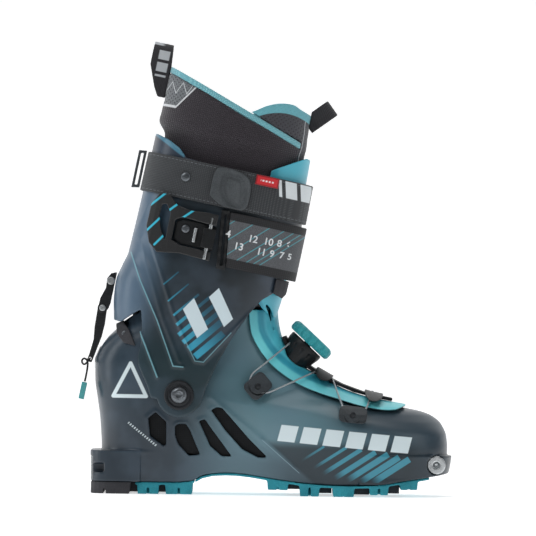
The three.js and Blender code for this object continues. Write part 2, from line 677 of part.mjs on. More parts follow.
// ---- Lace dial, its spine and guides --------------------------------------------------------
const alongDial = (distance) =>
  at(along(DIAL_CENTRE.x), 0, DIAL_CENTRE.z).addScaledVector(DIAL_AXIS, distance);
const SPINE_HALF = 7.5;
const SPINE_RISE = GAP * 2 + TONGUE_WALL;
const spineRegion = sidePrism(
  xz([[79, 128], [88, 105], [112, 84], [150, 72], [174, 68], [176, 90], [150, 110], [110, 140]]),
  -SPINE_HALF,
  SPINE_HALF,
);
const spine = overShell(SPINE_RISE, SPINE_RISE + 2.2).intersect(spineRegion);
const dialNeck = rod(9.5, -22, -9.6, alongDial(0), DIAL_AXIS).subtract(
  shellBody(tongueLevels, SPINE_RISE, SHELL_SAMPLES),
);
addToBoot("tongue_spine", spine.add(dialNeck), material(0x1d1f21, 0.55));
addToBoot("dial_base", disc(15.6, 3.6, -9.3, -5.2, alongDial(0), DIAL_AXIS, 28),
  material(0x202325, 0.5));
addToBoot("dial_spindle", rod(3, -9.2, 1.5, alongDial(0), DIAL_AXIS, 16),
  material(0x8d9296, 0.35, 0.8));

const KNURLS = 16;
let knob = turned(
  [[3.5, -4.6], [18.6, -4.6], [DIAL_RADIUS, -2.6], [DIAL_RADIUS, 2.2], [17.6, 4.2], [12, 4.6],
    [0, 4.6], [0, 2.2], [3.5, 2.2], [3.5, -4.6]],
  alongDial(0),
  DIAL_AXIS,
  32,
);
const dialSide = new THREE.Vector3().crossVectors(DIAL_AXIS, Y_AXIS).normalize();
for (const turn of range(0, 2 * Math.PI, KNURLS).slice(1)) {
  const rim = alongDial(-DIAL_THICKNESS)
    .addScaledVector(dialSide, (DIAL_RADIUS + 0.9) * Math.cos(turn))
    .addScaledVector(Y_AXIS, (DIAL_RADIUS + 0.9) * Math.sin(turn));
  knob = knob.subtract(rod(1.9, 0, 2 * DIAL_THICKNESS, rim, DIAL_AXIS, 6));
}
addToBoot("dial_knob", knob, material(0x3b9499, 0.45));

// The lace lies on the shell: each stop is [x, z, height over the shell skin].
const OVER_SHELL = 1.6;
const OVER_TONGUE = SPINE_RISE + 1.2;
const laceStops = [
  [89.2, 121.2, OVER_TONGUE + 2.6], [83, 117.6, OVER_TONGUE], [76, 112.6, OVER_TONGUE],
  [70, 107.6, OVER_TONGUE], [64, 102.6, OVER_SHELL + 1], [59.6, 97.6, OVER_SHELL + 0.6],
  [57.6, 91.6, OVER_SHELL + 0.6], [61, 85.6, OVER_SHELL + 0.6], [67, 83, OVER_SHELL + 0.6],
  [74.6, 84.6, OVER_SHELL + 0.6], [84, 90.4, OVER_SHELL + 1.2], [92, 94.8, OVER_TONGUE],
  [102, 98.2, OVER_TONGUE], [112, 97.8, OVER_TONGUE], [120.6, 93.4, OVER_TONGUE],
  [126.6, 86.6, OVER_TONGUE], [130.6, 79.6, OVER_SHELL + 1.8], [134.4, 72.6, OVER_SHELL + 0.6],
  [138.4, 67.6, OVER_SHELL + 0.6], [145.6, 66.6, OVER_SHELL + 0.6],
  [151.6, 69.4, OVER_SHELL + 0.8], [155.4, 73.6, OVER_SHELL + 2.4],
  [158, 77.2, OVER_TONGUE + 0.4], [159.4, 79.4, OVER_TONGUE + 0.2], [160.2, 80.7, OVER_TONGUE],
];
const LACE_STEPS = 36;
const laceSide = (side) =>
  laceStops.map(([x, z, rise]) => [along(x), side * shellHalf(along(x), z, rise), z]);
for (const [name, side] of SIDES) {
  const route = laceSide(side);
  const lace = tube(route, LACE_DIAMETER, LACE_STEPS);
  const channel = tube(route, LACE_DIAMETER + 1, LACE_STEPS);
  addToBoot(`lace_${name}`, lace, material(0x9aa0a4, 0.4, 0.6));
  for (const guide of GUIDES) {
    const half = new THREE.Shape();
    const { long, high, edge } = guide;
    half.moveTo(-long / 2 + edge, -high / 2);
    half.lineTo(long / 2 - edge, -high / 2);
    half.quadraticCurveTo(long / 2, -high / 2, long / 2, -high / 2 + edge);
    half.lineTo(long / 2, high / 2 - edge);
    half.quadraticCurveTo(long / 2, high / 2, long / 2 - edge, high / 2);
    half.lineTo(-long / 2 + edge, high / 2);
    half.quadraticCurveTo(-long / 2, high / 2, -long / 2, high / 2 - edge);
    half.lineTo(-long / 2, -high / 2 + edge);
    half.quadraticCurveTo(-long / 2, -high / 2, -long / 2 + edge, -high / 2);
    const block = sidePrism(half, -WIDE, WIDE)
      .rotate([0, -THREE.MathUtils.radToDeg(guide.turn), 0])
      .translate([along(guide.x), 0, guide.z])
      .intersect(box(0, along(200), side < 0 ? -WIDE : 4, side < 0 ? -4 : WIDE, 40, 130));
    const levels = range(guide.z - 18, guide.z + 18, 8);
    const skin = shellBody(levels, 5, 20).subtract(
      shellBody([levels[0] - 2, ...levels.slice(1, -1), guide.z + 20], GAP, 20),
    );
    addToBoot(`wire_guide_${guide.name}_${name}`, skin.intersect(block).subtract(channel),
      material(0x34383c, 0.5));
  }
}

// ---- Rear of the shell: bumpers and the plate the walk lever hooks on -----------------------
const rearLevels = SHELL_LEVELS.slice(-4);
const bumperSkin = shellBody(rearLevels, GAP + 1.6, SHELL_SAMPLES).subtract(
  shellBody([100, ...rearLevels, SHELL_TOP + 3], GAP + 0.1, SHELL_SAMPLES),
);
for (const [name, side] of SIDES) {
  const patch = sidePrism(
    xz([[-53, 139], [-47, 141.5], [-41.5, 134], [-36, 121], [-46, 123.5], [-51.8, 131]]),
    side < 0 ? -WIDE : LEVER_HALF + 2,
    side < 0 ? -LEVER_HALF - 2 : WIDE,
  );
  addToBoot(`heel_bumper_${name}`, bumperSkin.intersect(patch), material(0x1c1d1f, 0.7));
}
const lockSkin = shellBody([92, 100, 110, 122, 136], GAP + 0.6, SHELL_SAMPLES).subtract(
  shellBody([90, 100, 110, 122, 137], GAP - 0.1, SHELL_SAMPLES),
);
addToBoot("lock_plate", lockSkin.intersect(box(along(-90), along(-60), -9, 9, 102, 120)),
  material(0xaeb3b6, 0.35, 0.9));

// ---- Ankle pivots ---------------------------------------------------------------------------
const shellFace = shellHalf(0, PIVOT_HEIGHT);
const cuffFace = cuffHalf(0, 0);
for (const [name, side] of SIDES) {
  const out = at(0, side, 0);
  const inside = shellFace - SHELL_WALL - 1.3;
  addToBoot(`pivot_nut_${name}`, turned(
    [[BOLT_SHANK + GAP, inside - 1.8], [NUT_FLANGE, inside - 1.8], [NUT_FLANGE, inside],
      [NUT_RADIUS, inside], [NUT_RADIUS, cuffFace - 0.2], [BOLT_SHANK + GAP, cuffFace - 0.2],
      [BOLT_SHANK + GAP, inside - 1.8]],
    PIVOT, out, 20,
  ), material(0x9ba0a3, 0.35, 0.9));
  addToBoot(`pivot_washer_${name}`,
    disc(WASHER_RADIUS, BOLT_SHANK + GAP, cuffFace + GAP, cuffFace + 2.4, PIVOT, out, 28),
    material(0x2a2e31, 0.4, 0.6));
  const head = cuffFace + 2.4 + GAP;
  addToBoot(`pivot_bolt_${name}`, turned(
    [[0, inside - 1.8], [BOLT_SHANK, inside - 1.8], [BOLT_SHANK, head], [BOLT_RADIUS, head],
      [BOLT_RADIUS, head + 1], [BOLT_RADIUS - 1.4, head + 2.4], [2.6, head + 2.9],
      [2.6, head + 1], [0, head + 1]],
    PIVOT, out, 24,
  ), material(0x6d757b, 0.35, 0.85));
}

// ---- Cuff -----------------------------------------------------------------------------------
const EAR = 18;
const earArc = range(-0.5, -2.75, 6).map((t) => [EAR * Math.cos(t), EAR * Math.sin(t)]);
const cuffSide = uw([
  [76, 103], [76, 184], [-34, 190.8], [-41.2, 197.6], [-50.5, 202.3], [-62, 205.7],
  [-80, 206], [-80, 49.4], [-58.8, 48.5], [-49, 36], [-44.7, 29.7], [-37.9, 17],
  [-27.3, 2.6], [-22, -7], ...earArc.reverse(), [18.4, -6], [20.7, 12.7], [25.6, 33],
  [32.7, 54.6], [42.8, 77.6], [50.2, 90], [63.5, 102],
]).reverse();
const CUFF_LEVELS = [0, 40, 60, 81, 100, 150];
let cuff = cuffBody([-22, ...CUFF_LEVELS, 208], 0, 18).subtract(
  cuffBody([-24, ...CUFF_LEVELS, 210], -CUFF_WALL, 18),
);
cuff = cuff.intersect(sidePrism(cuffSide, -WIDE, WIDE));
const ORIGIN = at(0, 0, 0);
cuff = cuff.subtract(rod(NUT_RADIUS + GAP, -WIDE, WIDE, ORIGIN, Y_AXIS));
cuff = cuff.subtract(rod(along(HEEL_SWING), -across(44), across(44), ORIGIN, Y_AXIS, 44)
  .intersect(box(-WIDE, 0, -WIDE, WIDE, 0, WIDE)));
cuff = cuff.subtract(rod(along(DIAL_SWING), -DIAL_GAP, DIAL_GAP, ORIGIN, Y_AXIS, 44)
  .intersect(box(20, WIDE, -WIDE, WIDE, 0, WIDE)));
cuff = cuff.subtract(box(20, WIDE, -FRONT_GAP, FRONT_GAP, 0, 260));
addToCuff("cuff", cuff, material(0x3a4c58, 0.42));

// ---- Power strap ----------------------------------------------------------------------------
const strapSkin = cuffSkin(STRAP_LOW, STRAP_HIGH, GAP, GAP + STRAP_THICKNESS, 1, 18);
addToCuff("power_strap", strapSkin, material(0x3f4346, 0.85));
const strapFace = GAP + STRAP_THICKNESS;
const sidePiece = (outline, low, high, inner, outer, side = -1, steps = 2) =>
  cuffSkin(low, high, inner, outer, steps, 24).intersect(
    sidePrism(uw(outline), side < 0 ? -WIDE : 6, side < 0 ? -6 : WIDE),
  );
addToCuff("strap_buckle", sidePiece(
  [[-9, 162], [-4, 160], [14, 159.4], [21, 163], [23, 170], [21.5, 185], [15, 189], [-2, 189],
    [-8, 186], [-11, 178]],
  158, 190, strapFace + GAP, strapFace + 3.4,
), material(0x3c4043, 0.7));
addToCuff("reflector_tag", sidePiece([[25, 181.4], [44, 181.4], [44, 189.6], [25, 189.6]],
  180, 191, strapFace + GAP, strapFace + 1.4), material(0xc8202a, 0.5));
const rivetOn = (u, w, rise, side, radius, height) => {
  const face = Math.max(...[-radius, 0, radius].map((d) => cuffHalf(along(u) + d, w, rise))) + GAP;
  return turned(
    [[0, face], [radius, face], [radius, face + height * 0.5], [radius * 0.7, face + height],
      [0, face + height]],
    at(along(u), 0, w), at(0, side, 0), 18,
  );
};
addToCuff("strap_rivet", rivetOn(-31.5, 175.4, strapFace, -1, 3.7, 1.8),
  material(0x4a4e52, 0.5, 0.6));

const RING_WIRE = 2.2;
const ringFront = -along(64.3) - strapFace - GAP;
function ringShape() {
  const shape = new THREE.Shape();
  shape.moveTo(ringFront, 159.4);
  shape.lineTo(ringFront - 6.6, 158.2);
  shape.lineTo(ringFront - 6.6, 189.6);
  shape.lineTo(ringFront, 190.4);
  shape.closePath();
  const hole = new THREE.Path();
  hole.moveTo(ringFront - RING_WIRE, 159.4 + RING_WIRE);
  hole.lineTo(ringFront - RING_WIRE, 190.2 - RING_WIRE);
  hole.lineTo(ringFront - 6.6 + RING_WIRE, 189.6 - RING_WIRE);
  hole.lineTo(ringFront - 6.6 + RING_WIRE, 158.8 + RING_WIRE);
  hole.closePath();
  shape.holes.push(hole);
  return shape;
}
addToCuff("strap_ring", sidePrism(ringShape(), -11, -11 + RING_WIRE), material(0x1a1b1d, 0.4, 0.5));

// ---- Lower strap, its frame and flap --------------------------------------------------------
const STRAP_RISE = 1.2;
const FRAME_FRONT_TOP = 9.7;
const FRAME_FRONT_LOW = 15.6;
const lowerBand = cuffSkin(LOWER_STRAP_LOW, LOWER_STRAP_HIGH, STRAP_RISE,
  STRAP_RISE + LOWER_STRAP_THICKNESS, 1, 20);
const strapCut = [
  sidePrism(uw([[-90, 100], [FRAME_FRONT_LOW + GAP, 100], [FRAME_FRONT_LOW + GAP, 107.7],
    [FRAME_FRONT_TOP + GAP, 156], [FRAME_FRONT_TOP + GAP, 170], [-90, 170]]), -WIDE, 0.5),
  sidePrism(uw([[-90, 100], [-16, 100], [-16, 170], [-90, 170]]), 0, WIDE),
];
addToCuff("lower_strap", lowerBand.subtract(strapCut[0]).subtract(strapCut[1]),
  material(0x4c4e52, 0.85));
addToCuff("shin_flap", sidePiece([[58, 97], [66, 94.5], [69, 99], [69, 109.4], [58, 109.4]],
  93, 110, GAP, GAP + 2, -1).intersect(box(0, WIDE, -WIDE, -DIAL_GAP + 3, 80, 120)),
material(0x17181a, 0.7));
for (const [name, w] of [["upper", 143], ["lower", 122]]) {
  addToCuff(`strap_anchor_rivet_${name}`,
    rivetOn(-6, w, STRAP_RISE + LOWER_STRAP_THICKNESS, 1, 5, 1.8), material(0xa9adb0, 0.35, 0.85));
}
const frameSide = new THREE.Shape(uw([
  [2.9, 155.4], [8, 107.6], [FRAME_FRONT_LOW, 107.6], [FRAME_FRONT_TOP, 155.8],
]).map(([u, w]) => new THREE.Vector2(u, w)));
frameSide.holes.push(new THREE.Path(uw([
  [6, 152.4], [7.6, 152.4], [13, 110.8], [10.4, 110.8],
]).map(([u, w]) => new THREE.Vector2(u, w))));
const frameBand = cuffSkin(106, 157, GAP + 0.4, 4.6, 1, 24);
addToCuff("strap_frame", frameBand.intersect(sidePrism(frameSide, -WIDE, -6)),
  material(0x26282b, 0.5));

// ---- Buckle ---------------------------------------------------------------------------------
const pinFace = cuffHalf(along(BUCKLE_PIN[0]), BUCKLE_PIN[1]);
const pinLine = at(along(BUCKLE_PIN[0]), -pinFace - BUCKLE_PIN_RISE, 0);
const pinBore = rod(BUCKLE_PIN_RADIUS + 0.35, 90, 170, pinLine, Z_AXIS, 16);
addToCuff("buckle_pin", rod(BUCKLE_PIN_RADIUS, 112.6, 149.6, pinLine, Z_AXIS, 16),
  material(0x8c9094, 0.3, 0.9));
let base = sidePiece(
  [[-31, 138.4], [-31, 124.5], [-24, 121.4], [2, 120.4], [2, 139.4], [-12, 141.2], [-26, 141]],
  119, 142, GAP, 3.4,
);
const boss = box(along(-8), along(2), -pinFace - BUCKLE_PIN_RISE - 3, -pinFace - 1.4, 122, 138);
base = base.add(boss).subtract(pinBore);
addToCuff("buckle_base", base, material(0x1f2123, 0.5));
addToCuff("buckle_screw", rivetOn(-22.8, 134, 3.4, -1, 3.3, 1.6), material(0x3a3e42, 0.35, 0.8));
addToCuff("buckle_catch_pin",
  rod(1.4, 124.6, 136.4, at(along(-14.5), -cuffHalf(along(-14.5), 130, 3.4) - GAP - 1.4, 0), Z_AXIS,
    12),
  material(0xc4c8cb, 0.25, 0.95));

// The lever is one moulded loop: a finger tab at the back and a leg on each side of the base.
const leverSide = new THREE.Shape(uw([
  [1.4, 150.4], [-8, 150.6], [-22, 149.4], [-33, 151.5], [-41, 159], [-49.5, 158.4],
  [-54.5, 148], [-54.8, 130], [-50, 117], [-42, 110.6], [-24, 113.4], [-8, 112.6], [1.4, 112],
  [1.4, 119.4], [-8, 119.8], [-24, 120], [-32.4, 123], [-32.4, 139.6], [-27, 143], [-8, 141.6],
  [1.4, 141.4],
]).map(([u, w]) => new THREE.Vector2(u, w)));
leverSide.holes.push(new THREE.Path(uw([
  [-45.4, 149.6], [-42, 150.8], [-37.4, 144], [-37.4, 121.6], [-42.6, 129.6], [-46, 140.6],
]).map(([u, w]) => new THREE.Vector2(u, w))));
const leverSkin = cuffSkin(109, 161, 3.7, 7.1, 2, 24);
addToCuff("buckle_lever",
  leverSkin.intersect(sidePrism(leverSide, -WIDE, -6)).subtract(pinBore),
  material(0x1e2022, 0.5));

// ---- Walk lever -----------------------------------------------------------------------------
const cheek = 9;
const pinArc = (from, to, radius) =>
  range(from, to, 5).map((t) => [
    LEVER_PIN[0] + radius * Math.cos(t),
    LEVER_PIN[1] + radius * Math.sin(t),
  ]);
let bracket = sidePrism(uw([
  [-71.3, 61.5], [-71.3, 87.6], [-75.5, 85.8], [-78, 81], [-77.4, 73], [-80.2, 64],
  ...pinArc(2.6, 5.2, 4.2), [-72.2, 56.5],
]).reverse(), -cheek, cheek);
bracket = bracket.subtract(box(along(-100), along(-60), -LEVER_HALF - GAP, LEVER_HALF + GAP, 40, 66));
const pinSpool = (head, shank, half) => [
  [0, -half - 1.6], [head, -half - 1.6], [head, -half], [shank, -half], [shank, half],
  [head, half], [head, half + 1.6], [0, half + 1.6],
];
const bracketRivet = at(along(-74.4), 0, 79.6);
const leverPin = at(along(LEVER_PIN[0]), 0, LEVER_PIN[1]);
bracket = bracket.subtract(rod(1.9, -20, 20, bracketRivet, Y_AXIS, 12));
bracket = bracket.subtract(rod(1.9, -20, 20, leverPin, Y_AXIS, 12));
addToCuff("lever_bracket", bracket, material(0x17181a, 0.5));
addToCuff("bracket_rivet", turned(pinSpool(3.2, 1.5, cheek + 0.3), bracketRivet, Y_AXIS, 16),
  material(0xc9cdd0, 0.3, 0.9));
addToCuff("lever_pin", turned(pinSpool(2.6, 1.5, cheek + 0.3), leverPin, Y_AXIS, 16),
  material(0xc9cdd0, 0.3, 0.9));
let walkLever = sidePrism(uw([
  ...pinArc(-0.4, 3.3, 4), [-80, 40], [-78.6, 29.5], [-79.6, 17], [-80.8, 10.6],
  [-76.4, 10.6], [-75.4, 16], [-74.4, 22.6], [-72.6, 33], [-72.2, 44],
]), -LEVER_HALF, LEVER_HALF);
walkLever = walkLever.subtract(rod(1.9, -20, 20, leverPin, Y_AXIS, 12));
walkLever = walkLever.subtract(
  rod(CORD_DIAMETER / 2 + 0.5, -20, 20, at(along(CORD_EXIT[0]), 0, CORD_EXIT[2]), Y_AXIS, 10),
);
addToCuff("walk_lever", walkLever, material(0x17181a, 0.5));

// The pull cord leaves the hole sideways, curls once and drops to its rubber tab.
const CORD_ROUTE = [
  [-78.2, -6.9, 13.5], [-78.2, -8.6, 13.6], [-78.6, -10.2, 12.6], [-79.6, -11, 10.4],
  [-81.4, -11.2, 8], [-83.4, -11.1, 8.6], [-84.2, -10.7, 10.8], [-82.8, -10.3, 12.6],
  [-80.6, -9.9, 12], [-79.2, -9.4, 9.6], [-78.7, -9, 6.4], [-78.5, -8.6, 3], [-78.4, -8.4, -0.6],
  [-78.4, -8.3, -3.4], [-78.4, -8.3, -6],
];
addToCuff("pull_cord", tube(CORD_ROUTE.map(([u, y, w]) => [along(u), y, w]), CORD_DIAMETER, 24),
  material(0x1a1a1c, 0.9));
addToCuff("pull_tab", box(along(-78.4) - 2.2, along(-78.4) + 2.2, -13, -3.6, -20.4, -6.4),
  material(0x3fa0a6, 0.6));

// ---- Pull loops of the liner ----------------------------------------------------------------
// Each is webbing bent into an upturned U, seen here from the front, and leaned in side view.
function loopBand(half, foot, crown, thickness) {
  const arch = (radius, count) =>
    range(0, Math.PI, count).map((t) => [radius * Math.cos(t), crown - half + radius * Math.sin(t)]);
  const outer = arch(half, 10);
  const inner = arch(half - thickness, 10).reverse();
  const outline = [[half, foot], ...outer, [-half, foot], [-half + thickness, foot], ...inner,
    [half - thickness, foot]];
  const shape = new THREE.Shape(outline.map(([y, w]) => new THREE.Vector2(y, w)));
  const body = new THREE.ExtrudeGeometry(shape, { depth: 160, bevelEnabled: false });
  body.rotateX(Math.PI / 2);
  body.rotateZ(Math.PI / 2);
  body.translate(-80, 0, 0);
  return solidOf(body);
}
const rearLoop = loopBand(10, 236, 280, 2).intersect(sidePrism(uw([
  [-62.5, 236], [-62.5, 262], [-64.2, 282], [-80.4, 282], [-80.4, 262], [-73, 243], [-69, 236],
]).reverse(), -WIDE, WIDE));
addToCuff("rear_pull_loop", rearLoop, material(0x26262a, 0.9));
const FRONT_TILT = THREE.MathUtils.degToRad(43);
const frontLoop = loopBand(10, 0, 26, 2)
  .intersect(box(-7.2, 7.2, -WIDE, WIDE, -5, 40))
  .rotate([0, THREE.MathUtils.radToDeg(FRONT_TILT), 0])
  .translate([along(56.8), 0, 237.6])
  .subtract(inCuff(shaftSkin(SHAFT_INSET, 70, 290)));
addToCuff("front_pull_loop", frontLoop, material(0x2b2f33, 0.9));

export default boot;
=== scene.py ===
"""Looks of an alpine touring boot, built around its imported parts."""

import math

import bmesh
import bpy
import numpy as np
from mathutils import Matrix, Vector


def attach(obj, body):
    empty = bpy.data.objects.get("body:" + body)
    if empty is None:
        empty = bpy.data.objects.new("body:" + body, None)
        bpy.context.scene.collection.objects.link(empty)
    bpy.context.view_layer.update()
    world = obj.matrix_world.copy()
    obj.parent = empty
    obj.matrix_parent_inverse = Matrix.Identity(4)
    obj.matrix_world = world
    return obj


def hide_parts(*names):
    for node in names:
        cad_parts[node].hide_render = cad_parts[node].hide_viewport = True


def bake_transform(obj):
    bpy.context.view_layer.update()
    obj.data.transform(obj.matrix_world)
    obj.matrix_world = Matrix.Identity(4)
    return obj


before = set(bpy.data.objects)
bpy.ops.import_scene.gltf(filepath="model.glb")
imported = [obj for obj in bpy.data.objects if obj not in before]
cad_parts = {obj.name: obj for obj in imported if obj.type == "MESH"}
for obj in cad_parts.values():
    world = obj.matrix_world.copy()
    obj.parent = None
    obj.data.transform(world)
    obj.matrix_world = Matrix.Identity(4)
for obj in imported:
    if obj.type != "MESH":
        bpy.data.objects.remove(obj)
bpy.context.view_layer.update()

# ---- Camera ---------------------------------------------------------------------------------
# A long lens on the outer side of the boot, level with the middle of it. The boot leans a
# little towards its toe, as it does on a table that isn't quite level.
RANGE = 6.0
WIDTH_SEEN = 0.438
camera = bpy.data.objects.new("camera", bpy.data.cameras.new("camera"))
bpy.context.scene.collection.objects.link(camera)
camera.data.sensor_width = 36
camera.data.lens = 36 * (RANGE - 0.045) / WIDTH_SEEN
camera.data.clip_end = 40
tilt = Vector((1, 0, 0.0136)).normalized()
look = Vector((0, 1, 0))
upward = tilt.cross(look)
camera.matrix_world = Matrix.Translation((0.0713, -RANGE, 0.1863)) @ Matrix(
    (
        (tilt.x, upward.x, -look.x, 0),
        (tilt.y, upward.y, -look.y, 0),
        (tilt.z, upward.z, -look.z, 0),
        (0, 0, 0, 1),
    )
)
bpy.context.scene.camera = camera

# ---- Floor and studio light -----------------------------------------------------------------
# A white sweep of seamless paper: flat under the boot, turned up behind it, and seen only from
# its lit side. Large soft boxes stand above, in front and to each side, in a white room.
PAPER_FRONT, PAPER_BEND, PAPER_TOP, PAPER_HALF = -1.0, 1.2, 4.0, 4
sweep = bmesh.new()
profile = [(PAPER_FRONT, 0.0), (PAPER_BEND, 0.0)]
profile += [(PAPER_BEND * (1 + math.sin(a)), PAPER_BEND * (1 - math.cos(a)))
            for a in np.linspace(0.1, 1.57, 14)]
profile += [(2 * PAPER_BEND, PAPER_TOP)]
rows = [[sweep.verts.new((x, y, z)) for y, z in profile]
        for x in np.linspace(-PAPER_HALF, PAPER_HALF, 9)]
for left, right in zip(rows, rows[1:]):
    for k in range(len(profile) - 1):
        sweep.faces.new((left[k], right[k], right[k + 1], left[k + 1]))
paper_mesh = bpy.data.meshes.new("paper")
sweep.to_mesh(paper_mesh)
sweep.free()
paper = bpy.data.objects.new("paper", paper_mesh)
bpy.context.scene.collection.objects.link(paper)
paper_look = bpy.data.materials.new("paper")
paper_look.use_nodes = True
paper_shader = paper_look.node_tree.nodes["Principled BSDF"]
paper_shader.inputs["Base Color"].default_value = (0.93, 0.93, 0.93, 1)
paper_shader.inputs["Roughness"].default_value = 0.9
paper_shader.inputs["Emission Color"].default_value = (1, 1, 1, 1)
paper_shader.inputs["Emission Strength"].default_value = 0.55


def one_or_other(tree, output, choice, first, second):
    """Shows the second shader where the choice is 1, and the first shader elsewhere."""
    either = tree.nodes.new("ShaderNodeMixShader")
    for slot, source in enumerate((choice, first.outputs[0], second.outputs[0])):
        tree.links.new(either.inputs[slot], source)
    tree.links.new(tree.nodes[output].inputs["Surface"], either.outputs[0])


clear = paper_look.node_tree.nodes.new("ShaderNodeBsdfTransparent")
facing = paper_look.node_tree.nodes.new("ShaderNodeNewGeometry")
one_or_other(paper_look.node_tree, "Material Output", facing.outputs["Backfacing"],
             paper_shader, clear)
paper.data.materials.append(paper_look)

world = bpy.data.worlds.new("studio")
bpy.context.scene.world = world
world.use_nodes = True
room_light = world.node_tree.nodes["Background"]
room_light.inputs["Color"].default_value = (0.92, 0.96, 1.0, 1)
room_light.inputs["Strength"].default_value = 0.1
room_wall = world.node_tree.nodes.new("ShaderNodeBackground")
room_wall.inputs["Color"].default_value = (1, 1, 1, 1)
ray = world.node_tree.nodes.new("ShaderNodeLightPath")
one_or_other(world.node_tree, "World Output", ray.outputs["Is Camera Ray"],
             room_light, room_wall)


def soft_box(name, spot, size, power, tint=(1, 1, 1)):
    lamp = bpy.data.lights.new(name, "AREA")
    lamp.shape = "RECTANGLE"
    lamp.size, lamp.size_y = size
    lamp.energy = power
    lamp.color = tint
    holder = bpy.data.objects.new(name, lamp)
    bpy.context.scene.collection.objects.link(holder)
    holder.location = spot
    aim = Vector((0.05, 0, 0.15)) - Vector(spot)
    holder.rotation_euler = aim.to_track_quat("-Z", "Y").to_euler()


soft_box("key", (-0.9, -1.5, 1.6), (1.0, 1.0), 14)
soft_box("top", (0.2, 0.1, 1.7), (1.6, 1.0), 10)
soft_box("toe_side", (1.7, -0.8, 0.8), (0.7, 1.4), 4, (0.95, 0.98, 1))
soft_box("heel_side", (-1.6, -0.1, 0.7), (0.6, 1.4), 8, (0.93, 0.97, 1))
bpy.context.scene.view_settings.view_transform = "Standard"

# ---- Lower shell ----------------------------------------------------------------------------
# Injection-moulded nylon shell in pearl blue-grey, with printed bars. Its colour carries a painted
# highlight across the middle, so it is darker towards the heel and toe. The rear rim is round about
# the ankle, and four windows lighten each side of the arch.
PIVOT_HEIGHT = 81.5
LEAN = math.radians(11.2)
LEAN_COS, LEAN_SIN = math.cos(LEAN), math.sin(LEAN)
SHELL_WALL = 3.6
CUFF_WALL = 3.0


def smooth_table(rows):
    """A reading of a table of [place, value] rows that turns smoothly at each row."""
    xs = np.array([r[0] for r in rows], float)
    ys = np.array([r[1] for r in rows], float)
    slope = np.diff(ys) / np.diff(xs)
    tangent = np.zeros(len(xs))
    tangent[1:-1] = np.where(
        slope[:-1] * slope[1:] > 0,
        2 * slope[:-1] * slope[1:] / (slope[:-1] + slope[1:] + 1e-12),
        0,
    )
    tangent[0], tangent[-1] = slope[0], slope[-1]

    def read(x):
        x = np.clip(np.asarray(x, float), xs[0], xs[-1])
        k = np.clip(np.searchsorted(xs, x) - 1, 0, len(xs) - 2)
        h = xs[k + 1] - xs[k]
        t = (x - xs[k]) / h
        a = (1 + 2 * t) * (1 - t) ** 2 * ys[k] + t * (1 - t) ** 2 * h * tangent[k]
        return a + t * t * (3 - 2 * t) * ys[k + 1] + t * t * (t - 1) * h * tangent[k + 1]

    return read


def ease(x, low, high):
    t = np.clip((np.asarray(x, float) - low) / (high - low), 0, 1)
    return t * t * (3 - 2 * t)


heel_line = smooth_table([
    [8, -66], [36, -63.6], [60, -65], [80, -67.8], [93, -69.6], [107, -69.8], [117, -66.8],
    [127.5, -59.8], [135.5, -51.8], [142, -47], [150, -44.5], [160, -43],
])
toe_line = smooth_table([
    [8, 200], [14, 214], [24, 219.5], [40, 221], [50, 220], [60, 215.5], [66.4, 208], [70, 199],
    [73, 184], [76, 166], [79, 151], [84, 135], [90, 122], [96, 111], [103, 99], [111, 90],
    [120, 84], [130, 80], [140, 78], [160, 76],
])
heel_half = smooth_table([[8, 34], [36, 36.5], [60, 38], [90, 39.5], [160, 41]])
waist_half = smooth_table([[8, 31], [30, 34.5], [50, 39], [80, 42.6], [160, 43]])
ball_half = smooth_table([
    [8, 45], [24, 49.5], [40, 51.5], [55, 50.5], [66, 48], [75, 45], [90, 43],
])
toe_round = smooth_table([
    [8, 72], [50, 76], [60, 90], [70, 120], [80, 126], [100, 100], [150, 75],
])
toe_power = smooth_table([[8, 2.4], [50, 2.3], [66, 1.95], [100, 1.85]])
heel_round = smooth_table([[8, 34], [60, 34], [110, 42]])


def shell_ends(height, grow):
    z = height - grow
    return heel_line(z) - grow, toe_line(z) + grow


def shell_half(x, height, grow=0.0):
    z = height - grow
    heel, toe = heel_line(z), toe_line(z)
    rear, front = heel - grow, toe + grow
    here = heel + (x - rear) * (toe - heel) / (front - rear)
    width = heel_half(z) + (waist_half(z) - heel_half(z)) * ease(here, -40, 25)
    width = width + (ball_half(z) - waist_half(z)) * ease(here, 25, 150)
    power = toe_power(z)
    toward = np.clip(1 - (toe - here) / toe_round(z), 0, 1)
    away = np.clip(1 - (here - heel) / heel_round(z), 0, 1)
    toe_end = (1 - toward**power) ** (1 / power)
    heel_end = (1 - away**2.3) ** (1 / 2.3)
    return (width + grow) * toe_end * heel_end


def object_of(name, points, faces, smooth=True):
    """A mesh object from points in millimetres."""
    mesh = bpy.data.meshes.new(name)
    mesh.from_pydata((np.asarray(points, float) / 1000).tolist(), [], faces)
    mesh.update()
    body = bpy.data.objects.new(name, mesh)
    bpy.context.scene.collection.objects.link(body)
    if smooth:
        mesh.shade_smooth()
    return body


def loft(name, levels, ends, half, samples=120, place=None):
    """A closed body through one outline for each level, capped flat at both ends."""
    points = []
    turn = np.pi * np.arange(samples + 1) / samples
    for level in levels:
        rear, front = ends(level)
        x = rear + (front - rear) * (1 - np.cos(turn)) / 2
        y = half(x, level)
        y[0] = y[-1] = 0
        ring = np.concatenate([
            np.column_stack([x, -y, np.full_like(x, level)]),
            np.column_stack([x, y, np.full_like(x, level)])[-2:0:-1],
        ])
        points.append(ring)
    count = 2 * samples
    points = np.concatenate(points)
    faces = []
    for k in range(len(levels) - 1):
        low, high = k * count, (k + 1) * count
        for i in range(count):
            j = (i + 1) % count
            faces.append((low + i, low + j, high + j, high + i))
    faces.append(tuple(range(count))[::-1])
    faces.append(tuple(range((len(levels) - 1) * count, len(levels) * count)))
    if place is not None:
        points = place(points)
    return object_of(name, points, faces)


